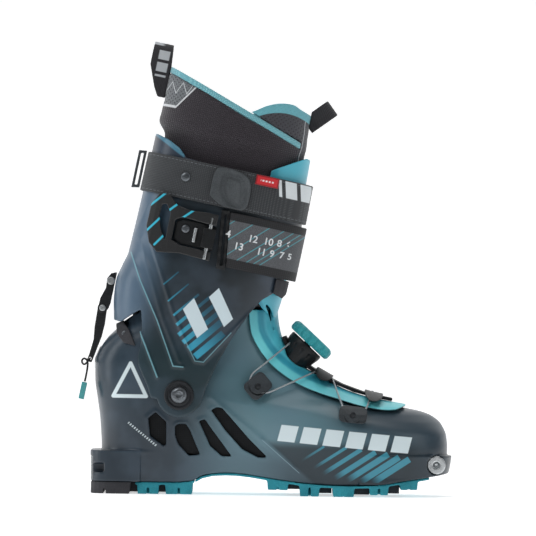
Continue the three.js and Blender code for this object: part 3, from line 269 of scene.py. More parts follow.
def prism(name, outline, low=-300.0, high=300.0, place=None):
    """A side outline of (x, z) points, pushed through from one side to the other."""
    turn = sum(a[0] * b[1] - b[0] * a[1] for a, b in zip(outline, outline[1:] + outline[:1]))
    line = list(outline) if turn > 0 else list(outline)[::-1]
    count = len(line)
    points = np.array([(x, low, z) for x, z in line] + [(x, high, z) for x, z in line], float)
    faces = [tuple(range(count)), tuple(range(count, 2 * count))[::-1]]
    for i in range(count):
        j = (i + 1) % count
        faces.append((i, count + i, count + j, j))
    if place is not None:
        points = place(points)
    return object_of(name, points, faces, smooth=False)


def drum(name, radius, low, high, centre, sides=96):
    """A round bar that lies across the boot."""
    angle = np.linspace(0, 2 * np.pi, sides, endpoint=False)
    line = [(centre[0] + radius * math.cos(a), centre[1] + radius * math.sin(a)) for a in angle]
    return prism(name, line, low, high)


def apply(body, kind, **settings):
    """Puts one modifier on and makes it part of the mesh."""
    step = body.modifiers.new(kind.lower(), kind)
    for key, value in settings.items():
        setattr(step, key, value)
    bpy.context.view_layer.update()
    ready = body.evaluated_get(bpy.context.evaluated_depsgraph_get())
    mesh = bpy.data.meshes.new_from_object(ready)
    body.modifiers.clear()
    body.data = mesh
    return body


def combine(body, operation, *tools):
    for tool in tools:
        apply(body, "BOOLEAN", operation=operation, object=tool, solver="MANIFOLD")
        bpy.data.objects.remove(tool)
    return body


def mould(body, voxel=0.7, passes=4, factor=0.5):
    """Evens the mesh out and rounds its edges a little, as a moulding's are."""
    apply(body, "REMESH", mode="VOXEL", voxel_size=voxel / 1000)
    apply(body, "SMOOTH", iterations=passes, factor=factor)
    body.data.shade_smooth()
    return body


def turn_toe(body):
    """The forefoot curves to the inner side."""
    for vertex in body.data.vertices:
        vertex.co.y += 0.006 * float(ease(vertex.co.x * 1000, 122, 206))
    return body


def curve_through(points, count):
    """Points along a smooth line through the given ones."""
    p = np.array(points, float)
    p = np.vstack([2 * p[0] - p[1], p, 2 * p[-1] - p[-2]])
    out = []
    for t in np.linspace(0, len(points) - 1, count):
        k = min(int(t), len(points) - 2)
        f = t - k
        a, b, c, d = p[k : k + 4]
        out.append(0.5 * (2 * b + (c - a) * f + (2 * a - 5 * b + 4 * c - d) * f**2
                          + (3 * b - a - 3 * c + d) * f**3))
    return [tuple(float(v) for v in q) for q in out]


class Wire:
    """A shader value that takes part in sums. Any number can stand on either side."""

    def __init__(self, tree, socket):
        self.tree, self.socket = tree, socket

    def make(self, kind, inputs, out=0, **settings):
        node = self.tree.nodes.new(kind)
        for key, value in settings.items():
            setattr(node, key, value)
        for slot, value in inputs.items():
            if isinstance(value, Wire):
                self.tree.links.new(value.socket, node.inputs[slot])
            else:
                node.inputs[slot].default_value = value
        return Wire(self.tree, node.outputs[out])

    def sum(self, operation, *values, clamp=False):
        return self.make("ShaderNodeMath", dict(enumerate(values)), operation=operation,
                         use_clamp=clamp)

    def __add__(self, other):
        return self.sum("ADD", self, other)

    def __sub__(self, other):
        return self.sum("SUBTRACT", self, other)

    def __rsub__(self, other):
        return self.sum("SUBTRACT", other, self)

    def __mul__(self, other):
        return self.sum("MULTIPLY", self, other)

    def __truediv__(self, other):
        return self.sum("DIVIDE", self, other)

    def __neg__(self):
        return self.sum("MULTIPLY", self, -1.0)

    def __abs__(self):
        return self.sum("ABSOLUTE", self)

    __radd__ = __add__
    __rmul__ = __mul__

    def least(self, other):
        return self.sum("MINIMUM", self, other)

    def most(self, other):
        return self.sum("MAXIMUM", self, other)

    def wave(self, period, phase=0.0):
        """0 to 1 and back, once in each period."""
        return self.sum("SINE", (self + phase) * (2 * math.pi / period)) * 0.5 + 0.5

    def saw(self, period):
        """Distance to the nearest whole number of periods."""
        return abs(self.sum("PINGPONG", self, period / 2))

    def ramp(self, low, high):
        """0 below low, 1 above high and smooth between them."""
        if low > high:
            return 1 - self.ramp(high, low)
        return self.make("ShaderNodeMapRange", {0: self, 1: low, 2: high},
                         interpolation_type="SMOOTHSTEP")

    def within(self, low, high, soft=0.25):
        return self.ramp(low - soft, low + soft) * self.ramp(high + soft, high - soft)

    def split(self):
        node = self.tree.nodes.new("ShaderNodeSeparateXYZ")
        self.tree.links.new(self.socket, node.inputs[0])
        return [Wire(self.tree, out) for out in node.outputs]

    def colour(self, dark, light):
        """Goes from one colour to another as this value goes from 0 to 1."""
        sides = {0: self.sum("MINIMUM", self.sum("MAXIMUM", self, 0.0), 1.0)}
        for slot, side in ((6, dark), (7, light)):
            sides[slot] = side if isinstance(side, Wire) else rgb(side)
        return self.make("ShaderNodeMix", sides, out=2, data_type="RGBA")

    def noise(self, scale, detail=2.0, roughness=0.5):
        return self.make("ShaderNodeTexNoise",
                         {"Vector": self, "Scale": scale, "Detail": detail,
                          "Roughness": roughness})

    def near(self, other, start, end, half, soft=0.2):
        """1 near the straight line from start to end, where self and other are the axes."""
        dx, dy = end[0] - start[0], end[1] - start[1]
        size = dx * dx + dy * dy
        t = self.sum("DIVIDE", (self - start[0]) * dx + (other - start[1]) * dy, size, clamp=True)
        gap = self.sum("SQRT", (self - start[0] - t * dx) * (self - start[0] - t * dx)
                       + (other - start[1] - t * dy) * (other - start[1] - t * dy))
        return gap.ramp(half + soft, half - soft)

    def inside(self, other, corners, soft=0.25):
        """1 inside a convex outline given anticlockwise, where self and other are the axes."""
        mask = None
        for a, b in zip(corners, corners[1:] + corners[:1]):
            dx, dy = b[0] - a[0], b[1] - a[1]
            size = math.hypot(dx, dy)
            depth = (other - a[1]) * (dx / size) - (self - a[0]) * (dy / size)
            mask = depth if mask is None else mask.least(depth)
        return mask.ramp(-soft, soft)


def rgb(colour):
    """A colour written as 0 to 255, as the shader wants it."""
    lin = [c / 255 for c in colour]
    lin = [c / 12.92 if c <= 0.04045 else ((c + 0.055) / 1.055) ** 2.4 for c in lin]
    return (*lin, 1.0)


def finish_of(name, paint, slot, **constants):
    """A material. paint(place) gives the sockets that vary, from the place in millimetres."""
    material = bpy.data.materials.new(name)
    material.use_nodes = True
    tree = material.node_tree
    shader = tree.nodes["Principled BSDF"]
    for key, value in constants.items():
        shader.inputs[key.replace("_", " ")].default_value = value
    coordinates = tree.nodes.new("ShaderNodeTexCoord")
    place = Wire(tree, coordinates.outputs["Object"])
    place = place.make("ShaderNodeVectorMath", {0: place, 3: 1000.0}, operation="SCALE")
    for key, value in paint(place).items():
        if key == "Height":
            height, depth = value
            bump = place.make("ShaderNodeBump",
                              {"Height": height, "Distance": depth / 1000, "Strength": 1.0})
            tree.links.new(bump.socket, shader.inputs["Normal"])
        else:
            tree.links.new(value.socket, shader.inputs[key])
    material["slot"] = slot
    return material


def dress(body, material, carrier, *nodes):
    """Gives a piece its material and its carrier, and shows it in place of CAD nodes."""
    body.data.materials.clear()
    body.data.materials.append(material)
    if carrier:
        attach(body, carrier)
    if nodes:
        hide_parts(*nodes)
    return body


def on_cuff(points):
    """Turns cuff axes (forward, across, up the leg from the ankle) into the boot's axes."""
    p = np.asarray(points, float)
    return np.column_stack([
        p[:, 0] * LEAN_COS + p[:, 2] * LEAN_SIN,
        p[:, 1],
        PIVOT_HEIGHT - p[:, 0] * LEAN_SIN + p[:, 2] * LEAN_COS,
    ])


def cuff_axes(place):
    x, y, z = place.split()
    return x * LEAN_COS - (z - PIVOT_HEIGHT) * LEAN_SIN, y, (
        x * LEAN_SIN + (z - PIVOT_HEIGHT) * LEAN_COS)


underside = [(-85, 10), (2, 10)] + curve_through(
    [(4, 10.4), (12, 11.4), (22, 16.4), (38.5, 18.2), (55, 17.4), (73.7, 14.6), (100, 11),
     (132.6, 9.2), (165, 10.2), (181.5, 12.8), (202, 16), (216, 18.2), (232, 22)], 60)
floor_line = [(-90, 38), (-30, 38), (60, 27), (150, 26), (190, 30), (205, 36), (240, 36)]
tongue_edge = curve_through(
    [(56, 152), (57.3, 135.4), (62.4, 123.2), (72.3, 109.4), (84.7, 99), (98.8, 90.4),
     (115.2, 84), (129.9, 79.6), (143.9, 75.4), (157.8, 72.4), (168.5, 71), (178, 71.4),
     (186, 74.6)], 60)
windows = [
    [(-25, 62.4), (-18.8, 67.2), (-10.3, 59.3), (-10.1, 40.5), (-12, 39.6), (-23.2, 47.7)],
    [(-2.9, 56.1), (-0.5, 57.8), (6, 57.9), (9.2, 53), (17.8, 32.7), (8.5, 32), (-0.3, 41.5),
     (-2.9, 48.8)],
    [(16.6, 60.5), (21.5, 62), (24, 58.1), (44, 31.4), (35.5, 32), (25.9, 40.2)],
    [(26.3, 69.6), (31, 72), (35.3, 71.4), (58.5, 45.5), (73.4, 31), (65, 31.4), (52, 38),
     (38, 53.4)],
]


def shell_relief(x, z):
    """How far the moulded skin of the outer side stands out from its plain shape."""
    out = np.zeros(np.broadcast(x, z).shape)
    for start, end, rise, width in (
        ((27, 80), (68.3, 46), 0.9, 2.2), ((68.3, 46), (97, 21.5), 0.9, 2.2),
    ):
        dx, dy = end[0] - start[0], end[1] - start[1]
        t = np.clip(((x - start[0]) * dx + (z - start[1]) * dy) / (dx * dx + dy * dy), 0, 1)
        off = (x - start[0] - t * dx) * dy - (z - start[1] - t * dy) * dx
        off = off / math.hypot(dx, dy)
        reach = np.hypot(x - start[0] - t * dx, z - start[1] - t * dy)
        out = out + rise * np.exp(-((reach / width) ** 2)) * np.where(off > 0, 1, 0.6)
    for window in windows:
        cx = np.mean([p[0] for p in window])
        cz = np.mean([p[1] for p in window])
        edge = np.full(out.shape, 1e9)
        for a, b in zip(window, window[1:] + window[:1]):
            dx, dy = b[0] - a[0], b[1] - a[1]
            t = np.clip(((x - a[0]) * dx + (z - a[1]) * dy) / (dx * dx + dy * dy), 0, 1)
            edge = np.minimum(edge, np.hypot(x - a[0] - t * dx, z - a[1] - t * dy))
        near = np.hypot(x - cx, z - cz) < 45
        out = out + np.where(near, 0.7 * np.exp(-((edge / 2.4) ** 2)), 0)
    out = out + 0.9 * np.exp(-(((z - 34) / 1.6) ** 2)) * ease(-x, 10, 50)
    return out


def skinned(x, z, grow=0.0):
    return shell_half(x, z, grow) + shell_relief(x, z) * ease(z, 12, 24)


shell = loft("lower_shell_skin", np.linspace(8.5, 150, 132), lambda z: shell_ends(z, 0), skinned,
             240)
block_turn = np.linspace(0, np.pi / 2, 10)
rear, half, corner = -72.3, 37.6, 17.0
left = [(rear + corner * (1 - math.sin(t)), half - corner * (1 - math.cos(t))) for t in block_turn]
plan = [(-31, half)] + left + [(x, -y) for x, y in left[::-1]] + [(-31, -half)]
count = len(plan)
heel_block = object_of(
    "heel_block",
    [(x, y, 10) for x, y in plan] + [(x, y, 35.4) for x, y in plan],
    [tuple(range(count))[::-1], tuple(range(count, 2 * count))]
    + [(i, (i + 1) % count, count + (i + 1) % count, count + i) for i in range(count)],
    smooth=False,
)
bmesh_fix = bmesh.new()
bmesh_fix.from_mesh(heel_block.data)
bmesh.ops.recalc_face_normals(bmesh_fix, faces=bmesh_fix.faces)
bmesh_fix.to_mesh(heel_block.data)
bmesh_fix.free()


def toe_welt_half(x, z):
    front = shell_ends(max(z, 18), 0)[1]
    push = 3.8 * ease(x, 120, front)
    return shell_half(x - push, max(z, 18)) + 3.8 * 0.6 * ease(x, 150, 200)


def toe_welt_ends(z):
    ends = shell_ends(max(z, 18), 0)
    return ends[0], ends[1] + 3.8


toe_welt = loft("toe_welt", [10, 16, 22, 28, 34], toe_welt_ends, toe_welt_half, 160)
combine(toe_welt, "DIFFERENCE", prism("behind", [(-120, -5), (148, -5), (148, 60), (-120, 60)]))
combine(shell, "UNION", heel_block, toe_welt)
combine(shell, "DIFFERENCE", prism("ground", underside + [(260, 22), (260, -40), (-120, -40),
                                                         (-120, 10)]))
room = loft("room", np.linspace(20, 162, 60), lambda z: shell_ends(z, -SHELL_WALL),
            lambda x, z: shell_half(x, z, -SHELL_WALL), 120)
combine(room, "DIFFERENCE", prism("footbed", floor_line + [(240, -20), (-90, -20)]))
combine(shell, "DIFFERENCE", room)
throat = [(x + 4.9, z + 7) for x, z in tongue_edge] + [(191, 190), (60.9, 190)]
combine(shell, "DIFFERENCE", prism("throat", throat))
rim_zone = prism("rim_zone", [(-200, 120), (0, 120), (0, 200), (-200, 200)])
combine(rim_zone, "DIFFERENCE", drum("swing", 75.4, -290, 290, (0, PIVOT_HEIGHT)))
combine(shell, "DIFFERENCE", rim_zone)
for window in windows:
    for low, high in ((-300, -20), (20, 300)):
        combine(shell, "DIFFERENCE", prism("window", window, low, high))
combine(shell, "DIFFERENCE", drum("nut_hole", 7.0, -300, 300, (0, PIVOT_HEIGHT)))
combine(shell, "DIFFERENCE", drum("insert_bar", 4.6, -300, 300, (211.6, 26.4)))
for low, high in ((-60, -27.2), (27.2, 60)):
    combine(shell, "DIFFERENCE", drum("insert_seat", 8.0, low, high, (211.6, 26.4)))
combine(shell, "DIFFERENCE", prism("heel_seat", [(-90, 9.6), (-70.1, 9.6), (-70.1, 30.4),
                                                 (-90, 30.4)]))
combine(shell, "DIFFERENCE", prism("heel_slot", [(-90, 17.5), (-60.5, 17.5), (-60.5, 25),
                                                 (-90, 25)], -300, -24))
mould(shell, 0.75, 4)
turn_toe(shell)


def shell_paint(place):
    x, y, z = place.split()
    outer = y.ramp(-6, -10)
    # Painted highlight: the colour is lighter across the middle of the shell and darker at heel and
    # toe.
    light = x.ramp(-10, 75) * x.ramp(215, 130)
    low = z.ramp(52, 22)
    tone = light.colour((38, 54, 66), (92, 126, 136))
    tone = (x.ramp(95, 175) * z.ramp(30, 62)).colour(tone, (58, 72, 82))
    tone = (low * x.ramp(20, 110) * 0.85).colour(tone, (26, 40, 50))
    tone = (x.ramp(20, -30) * z.ramp(85, 40) * 0.6).colour(tone, (34, 44, 54))
    tone = (place.noise(0.02, 3.0).ramp(0.42, 0.62) * 0.16).colour(tone, (110, 128, 146))
    dark = (x * 0.66 + z * 0.75).ramp(79.5, 83) * z.ramp(47, 38) * x.ramp(204, 186)
    tone = (dark * 0.85).colour(tone, (24, 38, 46))
    slope, run = x * 0.549 - z * 0.836, x * 0.836 + z * 0.549
    bars = None
    for middle, half, start, end in (
        (31.0, 0.9, 98, 122.6), (41.4, 1.2, 104, 137.4), (49.4, 1.7, 108, 146.8),
        (57.6, 2.1, 114, 155.4), (64.6, 2.4, 122, 163.2), (71.5, 2.5, 130, 169.4),
        (77.4, 2.6, 138, 175.6),
    ):
        bar = slope.within(middle - half, middle + half, 0.3) * run.ramp(end, end - 0.6)
        bar = bar * run.ramp(start, start + 12) * (z - 11.8).ramp(-0.4, 0.4)
        bars = bar if bars is None else bars.most(bar)
    tone = (bars * outer * run.ramp(92, 128)).colour(tone, (58, 138, 158))
    block = (x - z * 0.26).saw(19.0).ramp(7.6, 7.1)
    word = block * (z + x * 0.085).within(52.0, 65.5) * (x - z * 0.26).within(69, 180, 0.4)
    ridge_a = x.near(z, (-54, 80), (-40, 107), 1.5, 0.35)
    ridge_b = x.near(z, (-40, 107), (-27, 80), 1.5, 0.35)
    ridge_c = x.near(z, (-54, 80), (-27, 80), 1.5, 0.35)
    mark = ridge_a.most(ridge_b).most(ridge_c)
    dash = ((x - z).saw(3.1).ramp(0.9, 0.6)) * (x * 0.63 + z * 0.78).within(18.6, 20.4, 0.2)
    dash = dash * (x - z * 0.8).within(-88, -49)
    tone = (word.most(mark).most(dash * 0.8) * outer).colour(tone, (214, 228, 232))
    line = x.near(z, (68.3, 45.7), (99, 19), 0.28, 0.2) * outer
    tone = (line * 0.7).colour(tone, (128, 156, 166))
    rough = place.noise(0.9, 2.0) * 0.1 + 0.33
    return {"Base Color": tone, "Roughness": rough,
            "Height": (place.noise(1.6, 2.0), 0.02)}


shell_look = finish_of("pearl_nylon", shell_paint, "shell_plastic", Coat_Weight=0.25,
                       Coat_Roughness=0.25, Specular_IOR_Level=0.35)
dress(shell, shell_look, "shell", "lower_shell")

# ---- Core inserts ---------------------------------------------------------------------------
# Woven carbon panels that are moulded in behind the windows of the shell, one on each side.
# A clear matt skin covers the weave.
def weave_paint(place):
    x, _, z = place.split()
    a, b = (x + z) * 0.7071, (x - z) * 0.7071
    over = a.wave(2.2) * b.wave(2.2) + (1 - a.wave(2.2)) * (1 - b.wave(2.2))
    tone = over.colour((8, 9, 11), (22, 25, 28))
    return {"Base Color": tone, "Roughness": over * 0.2 + 0.4, "Height": (over, 0.05)}


weave_look = finish_of("carbon_weave", weave_paint, "core_plastic", Specular_IOR_Level=0.15)
for side in ("lateral", "medial"):
    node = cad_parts["core_insert_" + side]
    node.data.materials.clear()
    node.data.materials.append(weave_look)


# ---- Soles ----------------------------------------------------------------------------------
# Teal rubber lugs moulded on a thin sheet that is glued under the forefoot and the heel, black
# lugs along the middle between them, and a harder black pad at the back of the heel.
def grain(name, slot, dark, light, rough, size=1.2, depth=0.05, **constants):
    """A plain material with a fine grain: two close colours and a shallow unevenness."""

    def paint(place):
        fine = place.noise(size, 3.0)
        broad = place.noise(0.06, 2.0)
        tone = ((fine + broad) * 0.5).ramp(0.3, 0.7).colour(dark, light)
        return {"Base Color": tone, "Roughness": fine * 0.16 + (rough - 0.08),
                "Height": (fine, depth)}

    return finish_of(name, paint, slot, **{"Specular_IOR_Level": 0.25, **constants})


def soften(node, voxel=0.5, passes=3):
    """The same piece with its edges rounded, in a mesh of its own."""
    body = bpy.data.objects.new(node + "_moulded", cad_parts[node].data.copy())
    bpy.context.scene.collection.objects.link(body)
    return mould(body, voxel, passes)


teal_rubber = grain("teal_rubber", "sole_rubber", (36, 124, 140), (50, 152, 166), 0.62)
black_rubber = grain("black_rubber", "black_rubber", (44, 44, 48), (62, 62, 66), 0.6)
dress(soften("forefoot_sole", 0.7), teal_rubber, "shell", "forefoot_sole")
dress(soften("heel_sole", 0.7), teal_rubber, "shell", "heel_sole")
dress(soften("heel_strike_pad", 0.6), black_rubber, "shell", "heel_strike_pad")

core_lugs = None
for start, end, low in ((-41, -33, 1.4), (-17, -10, 1.4), (88, 100, 5.2), (113.6, 126, 2.2),
                        (142.4, 157, 1.4), (169.4, 181.4, 2.6)):
    lug = prism("core_lugs", [(start, low), (end, low), (end, 11), (start, 11)], -20, 20)
    core_lugs = lug if core_lugs is None else combine(core_lugs, "UNION", lug)
apply(core_lugs, "BEVEL", width=0.0006, segments=2, limit_method="ANGLE")
dress(core_lugs, black_rubber, "shell")

# ---- Tech inserts and lock plate ------------------------------------------------------------
# Hardened steel: a bar with a flange and socket at each side of the toe, a slotted plate in the
# back of the heel, and the plate that the walk lever hooks on.
def metal_paint(dark, light, rough):
    def paint(place):
        brushed = place.make("ShaderNodeVectorMath", {0: place, 1: (0.25, 1.0, 4.0)},
                             operation="MULTIPLY").noise(1.4, 3.0)
        tone = brushed.ramp(0.3, 0.7).colour(dark, light)
        return {"Base Color": tone, "Roughness": brushed * 0.14 + rough,
                "Height": (brushed, 0.01)}

    return paint


bright_steel = finish_of("bright_steel", metal_paint((176, 180, 182), (216, 219, 221), 0.22),
                         "insert_steel", Metallic=0.9)
dark_steel = finish_of("dark_steel", metal_paint((84, 88, 92), (124, 129, 134), 0.28),
                       "dark_steel", Metallic=0.9)
toe_insert = soften("toe_insert", 0.4, 2)
for x, z, radius in ((208.6, 21.4, 0.9), (214.2, 21.2, 0.9)):
    combine(toe_insert, "DIFFERENCE", drum("pit", radius, -60, -34.4, (x, z), 24))
dress(toe_insert, bright_steel, "shell", "toe_insert")
dress(soften("heel_insert", 0.3, 2), bright_steel, "shell", "heel_insert")
dress(soften("lock_plate", 0.3, 2), bright_steel, "shell", "lock_plate")

# ---- Heel bumpers ---------------------------------------------------------------------------
# Two rubber bumpers, each held by a rivet on the rear rim of the shell, that stop the cuff
# from knocking on it.
def lathe(name, profile, centre, axis, sides=72, wobble=None):
    """A turned piece. The profile is (radius, distance along the axis), from axis to axis."""
    axis = Vector(axis).normalized()
    across = axis.orthogonal().normalized()
    other = axis.cross(across)
    points, faces = [], []
    inner = [p for p in profile if p[0] > 1e-6]
    for radius, height in inner:
        for k in range(sides):
            a = 2 * math.pi * k / sides
            r = radius if wobble is None else wobble(radius, height, a)
            spot = Vector(centre) + axis * height + across * r * math.cos(a) + (
                other * r * math.sin(a))
            points.append(tuple(spot))
    for row in range(len(inner) - 1):
        for k in range(sides):
            a, b = row * sides + k, row * sides + (k + 1) % sides
            faces.append((a, b, b + sides, a + sides))
    if profile[0][0] < 1e-6:
        faces.append(tuple(range(sides))[::-1])
        faces.append(tuple(range((len(inner) - 1) * sides, len(inner) * sides)))
    else:
        last = (len(inner) - 1) * sides
        for k in range(sides):
            faces.append((last + k, last + (k + 1) % sides, (k + 1) % sides, k))
    body = object_of(name, points, faces)
    body.data.update()
    fix = bmesh.new()
    fix.from_mesh(body.data)
    bmesh.ops.recalc_face_normals(fix, faces=fix.faces)
    fix.to_mesh(body.data)
    fix.free()
    apply(body, "BEVEL", width=0.00018, segments=2, limit_method="ANGLE",
          angle_limit=math.radians(28))
    body.data.shade_smooth()
    return body


def dome(radius, rise, base=0.0):
    """The profile of a rivet head."""
    arc = [(radius * math.cos(t), base + rise * 0.35 + rise * 0.65 * math.sin(t))
           for t in np.linspace(0, 1.45, 7)]
    return [(0, base), (radius, base)] + arc + [(0, base + rise)]


for side, sign in (("lateral", -1), ("medial", 1)):
    dress(soften("heel_bumper_" + side, 0.45), black_rubber, "shell", "heel_bumper_" + side)
    face = float(shell_half(-45.0, 131.0)) + 1.7
    rivet = lathe("bumper_rivet_" + side, dome(2.6, 1.1), (-45, sign * face, 131), (0, sign, 0))
    dress(rivet, dark_steel, "shell")

# ---- Ankle pivots ---------------------------------------------------------------------------
# A blackened washer and a domed steel bolt with a hexagon socket on each side, and the flanged
# nut inside the shell that they are screwed into.
cuff_face = 49.0
washer_profile = [(4.3, 0.4), (12.2, 0.4), (12.2, 1.7), (11.6, 2.4), (9.8, 2.4), (9.5, 1.9),
                  (8.4, 1.9), (8.1, 2.3), (7.0, 2.3), (4.3, 2.3)]
bolt_profile = [(0, -4.0), (3.9, -4.0), (3.9, 2.8), (6.6, 2.8), (6.6, 3.7), (6.1, 4.6),
                (5.0, 5.3), (4.0, 5.55), (0, 5.6)]
blackened = finish_of("blackened_steel", metal_paint((28, 30, 33), (46, 49, 53), 0.3),
                      "dark_steel", Metallic=0.5)
for side, sign in (("lateral", -1), ("medial", 1)):
    hub = (0, sign * cuff_face, PIVOT_HEIGHT)
    washer = lathe("washer_" + side, washer_profile, hub, (0, sign, 0))
    dress(washer, blackened, "shell", "pivot_washer_" + side)
    bolt = lathe("bolt_" + side, bolt_profile, hub, (0, sign, 0))
    socket = lathe("socket", [(0, 3.6), (2.7, 3.6), (2.7, 8), (0, 8)], hub, (0, sign, 0), 6)
    combine(bolt, "DIFFERENCE", socket)
    dress(bolt, dark_steel, "shell", "pivot_bolt_" + side)
    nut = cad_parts["pivot_nut_" + side]
    nut.data.materials.clear()
    nut.data.materials.append(dark_steel)

# ---- Cuff -----------------------------------------------------------------------------------
# Carbon-filled nylon cuff, open at the front, with ribs moulded down its rear corner, printed
# bars and two plain slanted marks. It turns on the ankle bolts.
cuff_rear = smooth_table([
    [-24, -58], [-20, -58], [40, -64], [52, -66.4], [68, -69.6], [81, -70.6], [95, -68],
    [106, -65.4], [190, -63.7], [300, -63],
])
cuff_front = smooth_table([
    [-24, 64], [60, 66], [100, 69.8], [155, 70], [190, 69.4], [280, 66], [300, 65.8],
])
cuff_width = smooth_table([
    [-24, 49], [40, 49], [80, 50.5], [110, 52], [190, 54], [280, 55], [300, 55],
])


def cuff_ends(w, grow=0.0):
    return cuff_rear(w) - grow, cuff_front(w) + grow


def cuff_half(u, w, grow=0.0):
    rear, front = cuff_ends(w, grow)
    middle, run = (rear + front) / 2, (front - rear) / 2
    t = np.clip(np.abs(u - middle) / run, 0, 1)
    power = np.where(np.asarray(u) < middle, 3.0, 2.5)
    return (cuff_width(w) + grow) * (1 - t**power) ** (1 / power)


def lean(body):
    """Turns a piece made in cuff axes into the boot's axes."""
    turn = Matrix.Translation((0, 0, PIVOT_HEIGHT / 1000)) @ Matrix.Rotation(LEAN, 4, "Y")
    body.data.transform(turn)
    return body


def reach(u, w, line):
    """Distance to a line through points, and which side of it each place is on."""
    best = np.full(np.broadcast(u, w).shape, 1e9)
    side = np.zeros(best.shape)
    for a, b in zip(line, line[1:]):
        dx, dy = b[0] - a[0], b[1] - a[1]
        t = np.clip(((u - a[0]) * dx + (w - a[1]) * dy) / (dx * dx + dy * dy), 0, 1)
        gap = np.hypot(u - a[0] - t * dx, w - a[1] - t * dy)
        turn = (u - a[0]) * dy - (w - a[1]) * dx
        side = np.where(gap < best, np.sign(turn), side)
        best = np.minimum(best, gap)
    return best, side


rib_long = [(-63, 106), (-50.7, 85.3), (-30.3, 56.2), (-9.7, 22.2), (-1.6, 23.1)]
rib_short = [(-50.3, 56.1), (-35.7, 34.2), (-20.6, 10.7)]
rib_middle = [(-58, 118), (-25.5, 57.2), (-4.8, 26.5)]
panel_edge = [(-53, 126), (-36.4, 96.7), (-20, 66.8), (-4.5, 45), (7, 30), (14, 30.5),
              (31, 58.4), (46, 82)]


def cuff_relief(u, w):
    out = np.zeros(np.broadcast(u, w).shape)
    for line, rise, width in ((rib_long, 0.8, 1.1), (rib_short, 0.8, 1.2), (rib_middle, 0.7, 1.4)):
        gap, side = reach(u, w, line)
        out = out + rise * np.exp(-((gap / width) ** 2))
    gap, side = reach(u, w, panel_edge)
    out = out + 0.9 * np.exp(-((gap / 1.3) ** 2))
    signed = gap * side
    inside = np.where(signed > 0, 1, 0) * ease(w, 24, 40)
    out = out - 0.5 * np.where(gap < 30, ease(signed, 0, 2.0), 1) * inside * ease(-u, 60, 40)
    crease, side = reach(u, w, [(-57.5, 146), (-66, 112)])
    out = out + 0.7 * np.exp(-((crease / 1.6) ** 2))
    return np.clip(out, -0.7, 1.1)


def band(name, levels, inner, outer, outline, low=-300.0, high=300.0, relief=None, samples=200):
    """A curved panel between two offsets of the cuff's skin, cut to a side outline."""
    def skin(x, z):
        base = cuff_half(x, z, outer)
        return base if relief is None else base + relief(x, z)

    body = loft(name, levels, lambda w: cuff_ends(w, outer), skin, samples)
    wide = [levels[0] - 1.0, *levels[1:-1], levels[-1] + 1.0]
    hollow = loft("hollow", wide, lambda w: cuff_ends(w, inner),
                  lambda x, z: cuff_half(x, z, inner), samples)
    combine(body, "DIFFERENCE", hollow)
    if outline is not None:
        combine(body, "INTERSECT", prism("outline", outline, low, high))
    return body


ear = [(18 * math.cos(t), 18 * math.sin(t)) for t in np.linspace(-2.75, -0.5, 24)]
cuff_outline = [
    (76, 103), (76, 184), (-34, 190.8), (-41.2, 197.6), (-50.5, 202.3), (-62, 205.7), (-80, 206),
    (-80, 49.4), (-58.8, 48.5), (-49, 36), (-44.7, 29.7), (-37.9, 17), (-27.3, 2.6), (-22, -7),
    *ear, (18.4, -6), (20.7, 12.7), (25.6, 33), (32.7, 54.6), (42.8, 77.6), (50.2, 90),
    (63.5, 102),
]
cuff = band("cuff_skin", np.linspace(-22, 208, 170), -CUFF_WALL, 0, cuff_outline,
            relief=cuff_relief, samples=260)
combine(cuff, "DIFFERENCE", drum("nut_hole", 7.0, -300, 300, (0, 0)))
heel_swing = prism("heel_swing", [(-200, 0), (0, 0), (0, 200), (-200, 200)])
combine(heel_swing, "INTERSECT", drum("swing", 76.5, -44, 44, (0, 0)))
dial_swing = prism("dial_swing", [(20, 0), (200, 0), (200, 200), (20, 200)])
combine(dial_swing, "INTERSECT", drum("swing", 131, -25, 25, (0, 0)))
slit = prism("slit", [(20, 0), (200, 0), (200, 260), (20, 260)], -8, 8)
combine(cuff, "DIFFERENCE", heel_swing, dial_swing, slit)
mould(cuff, 0.7, 3)
lean(cuff)


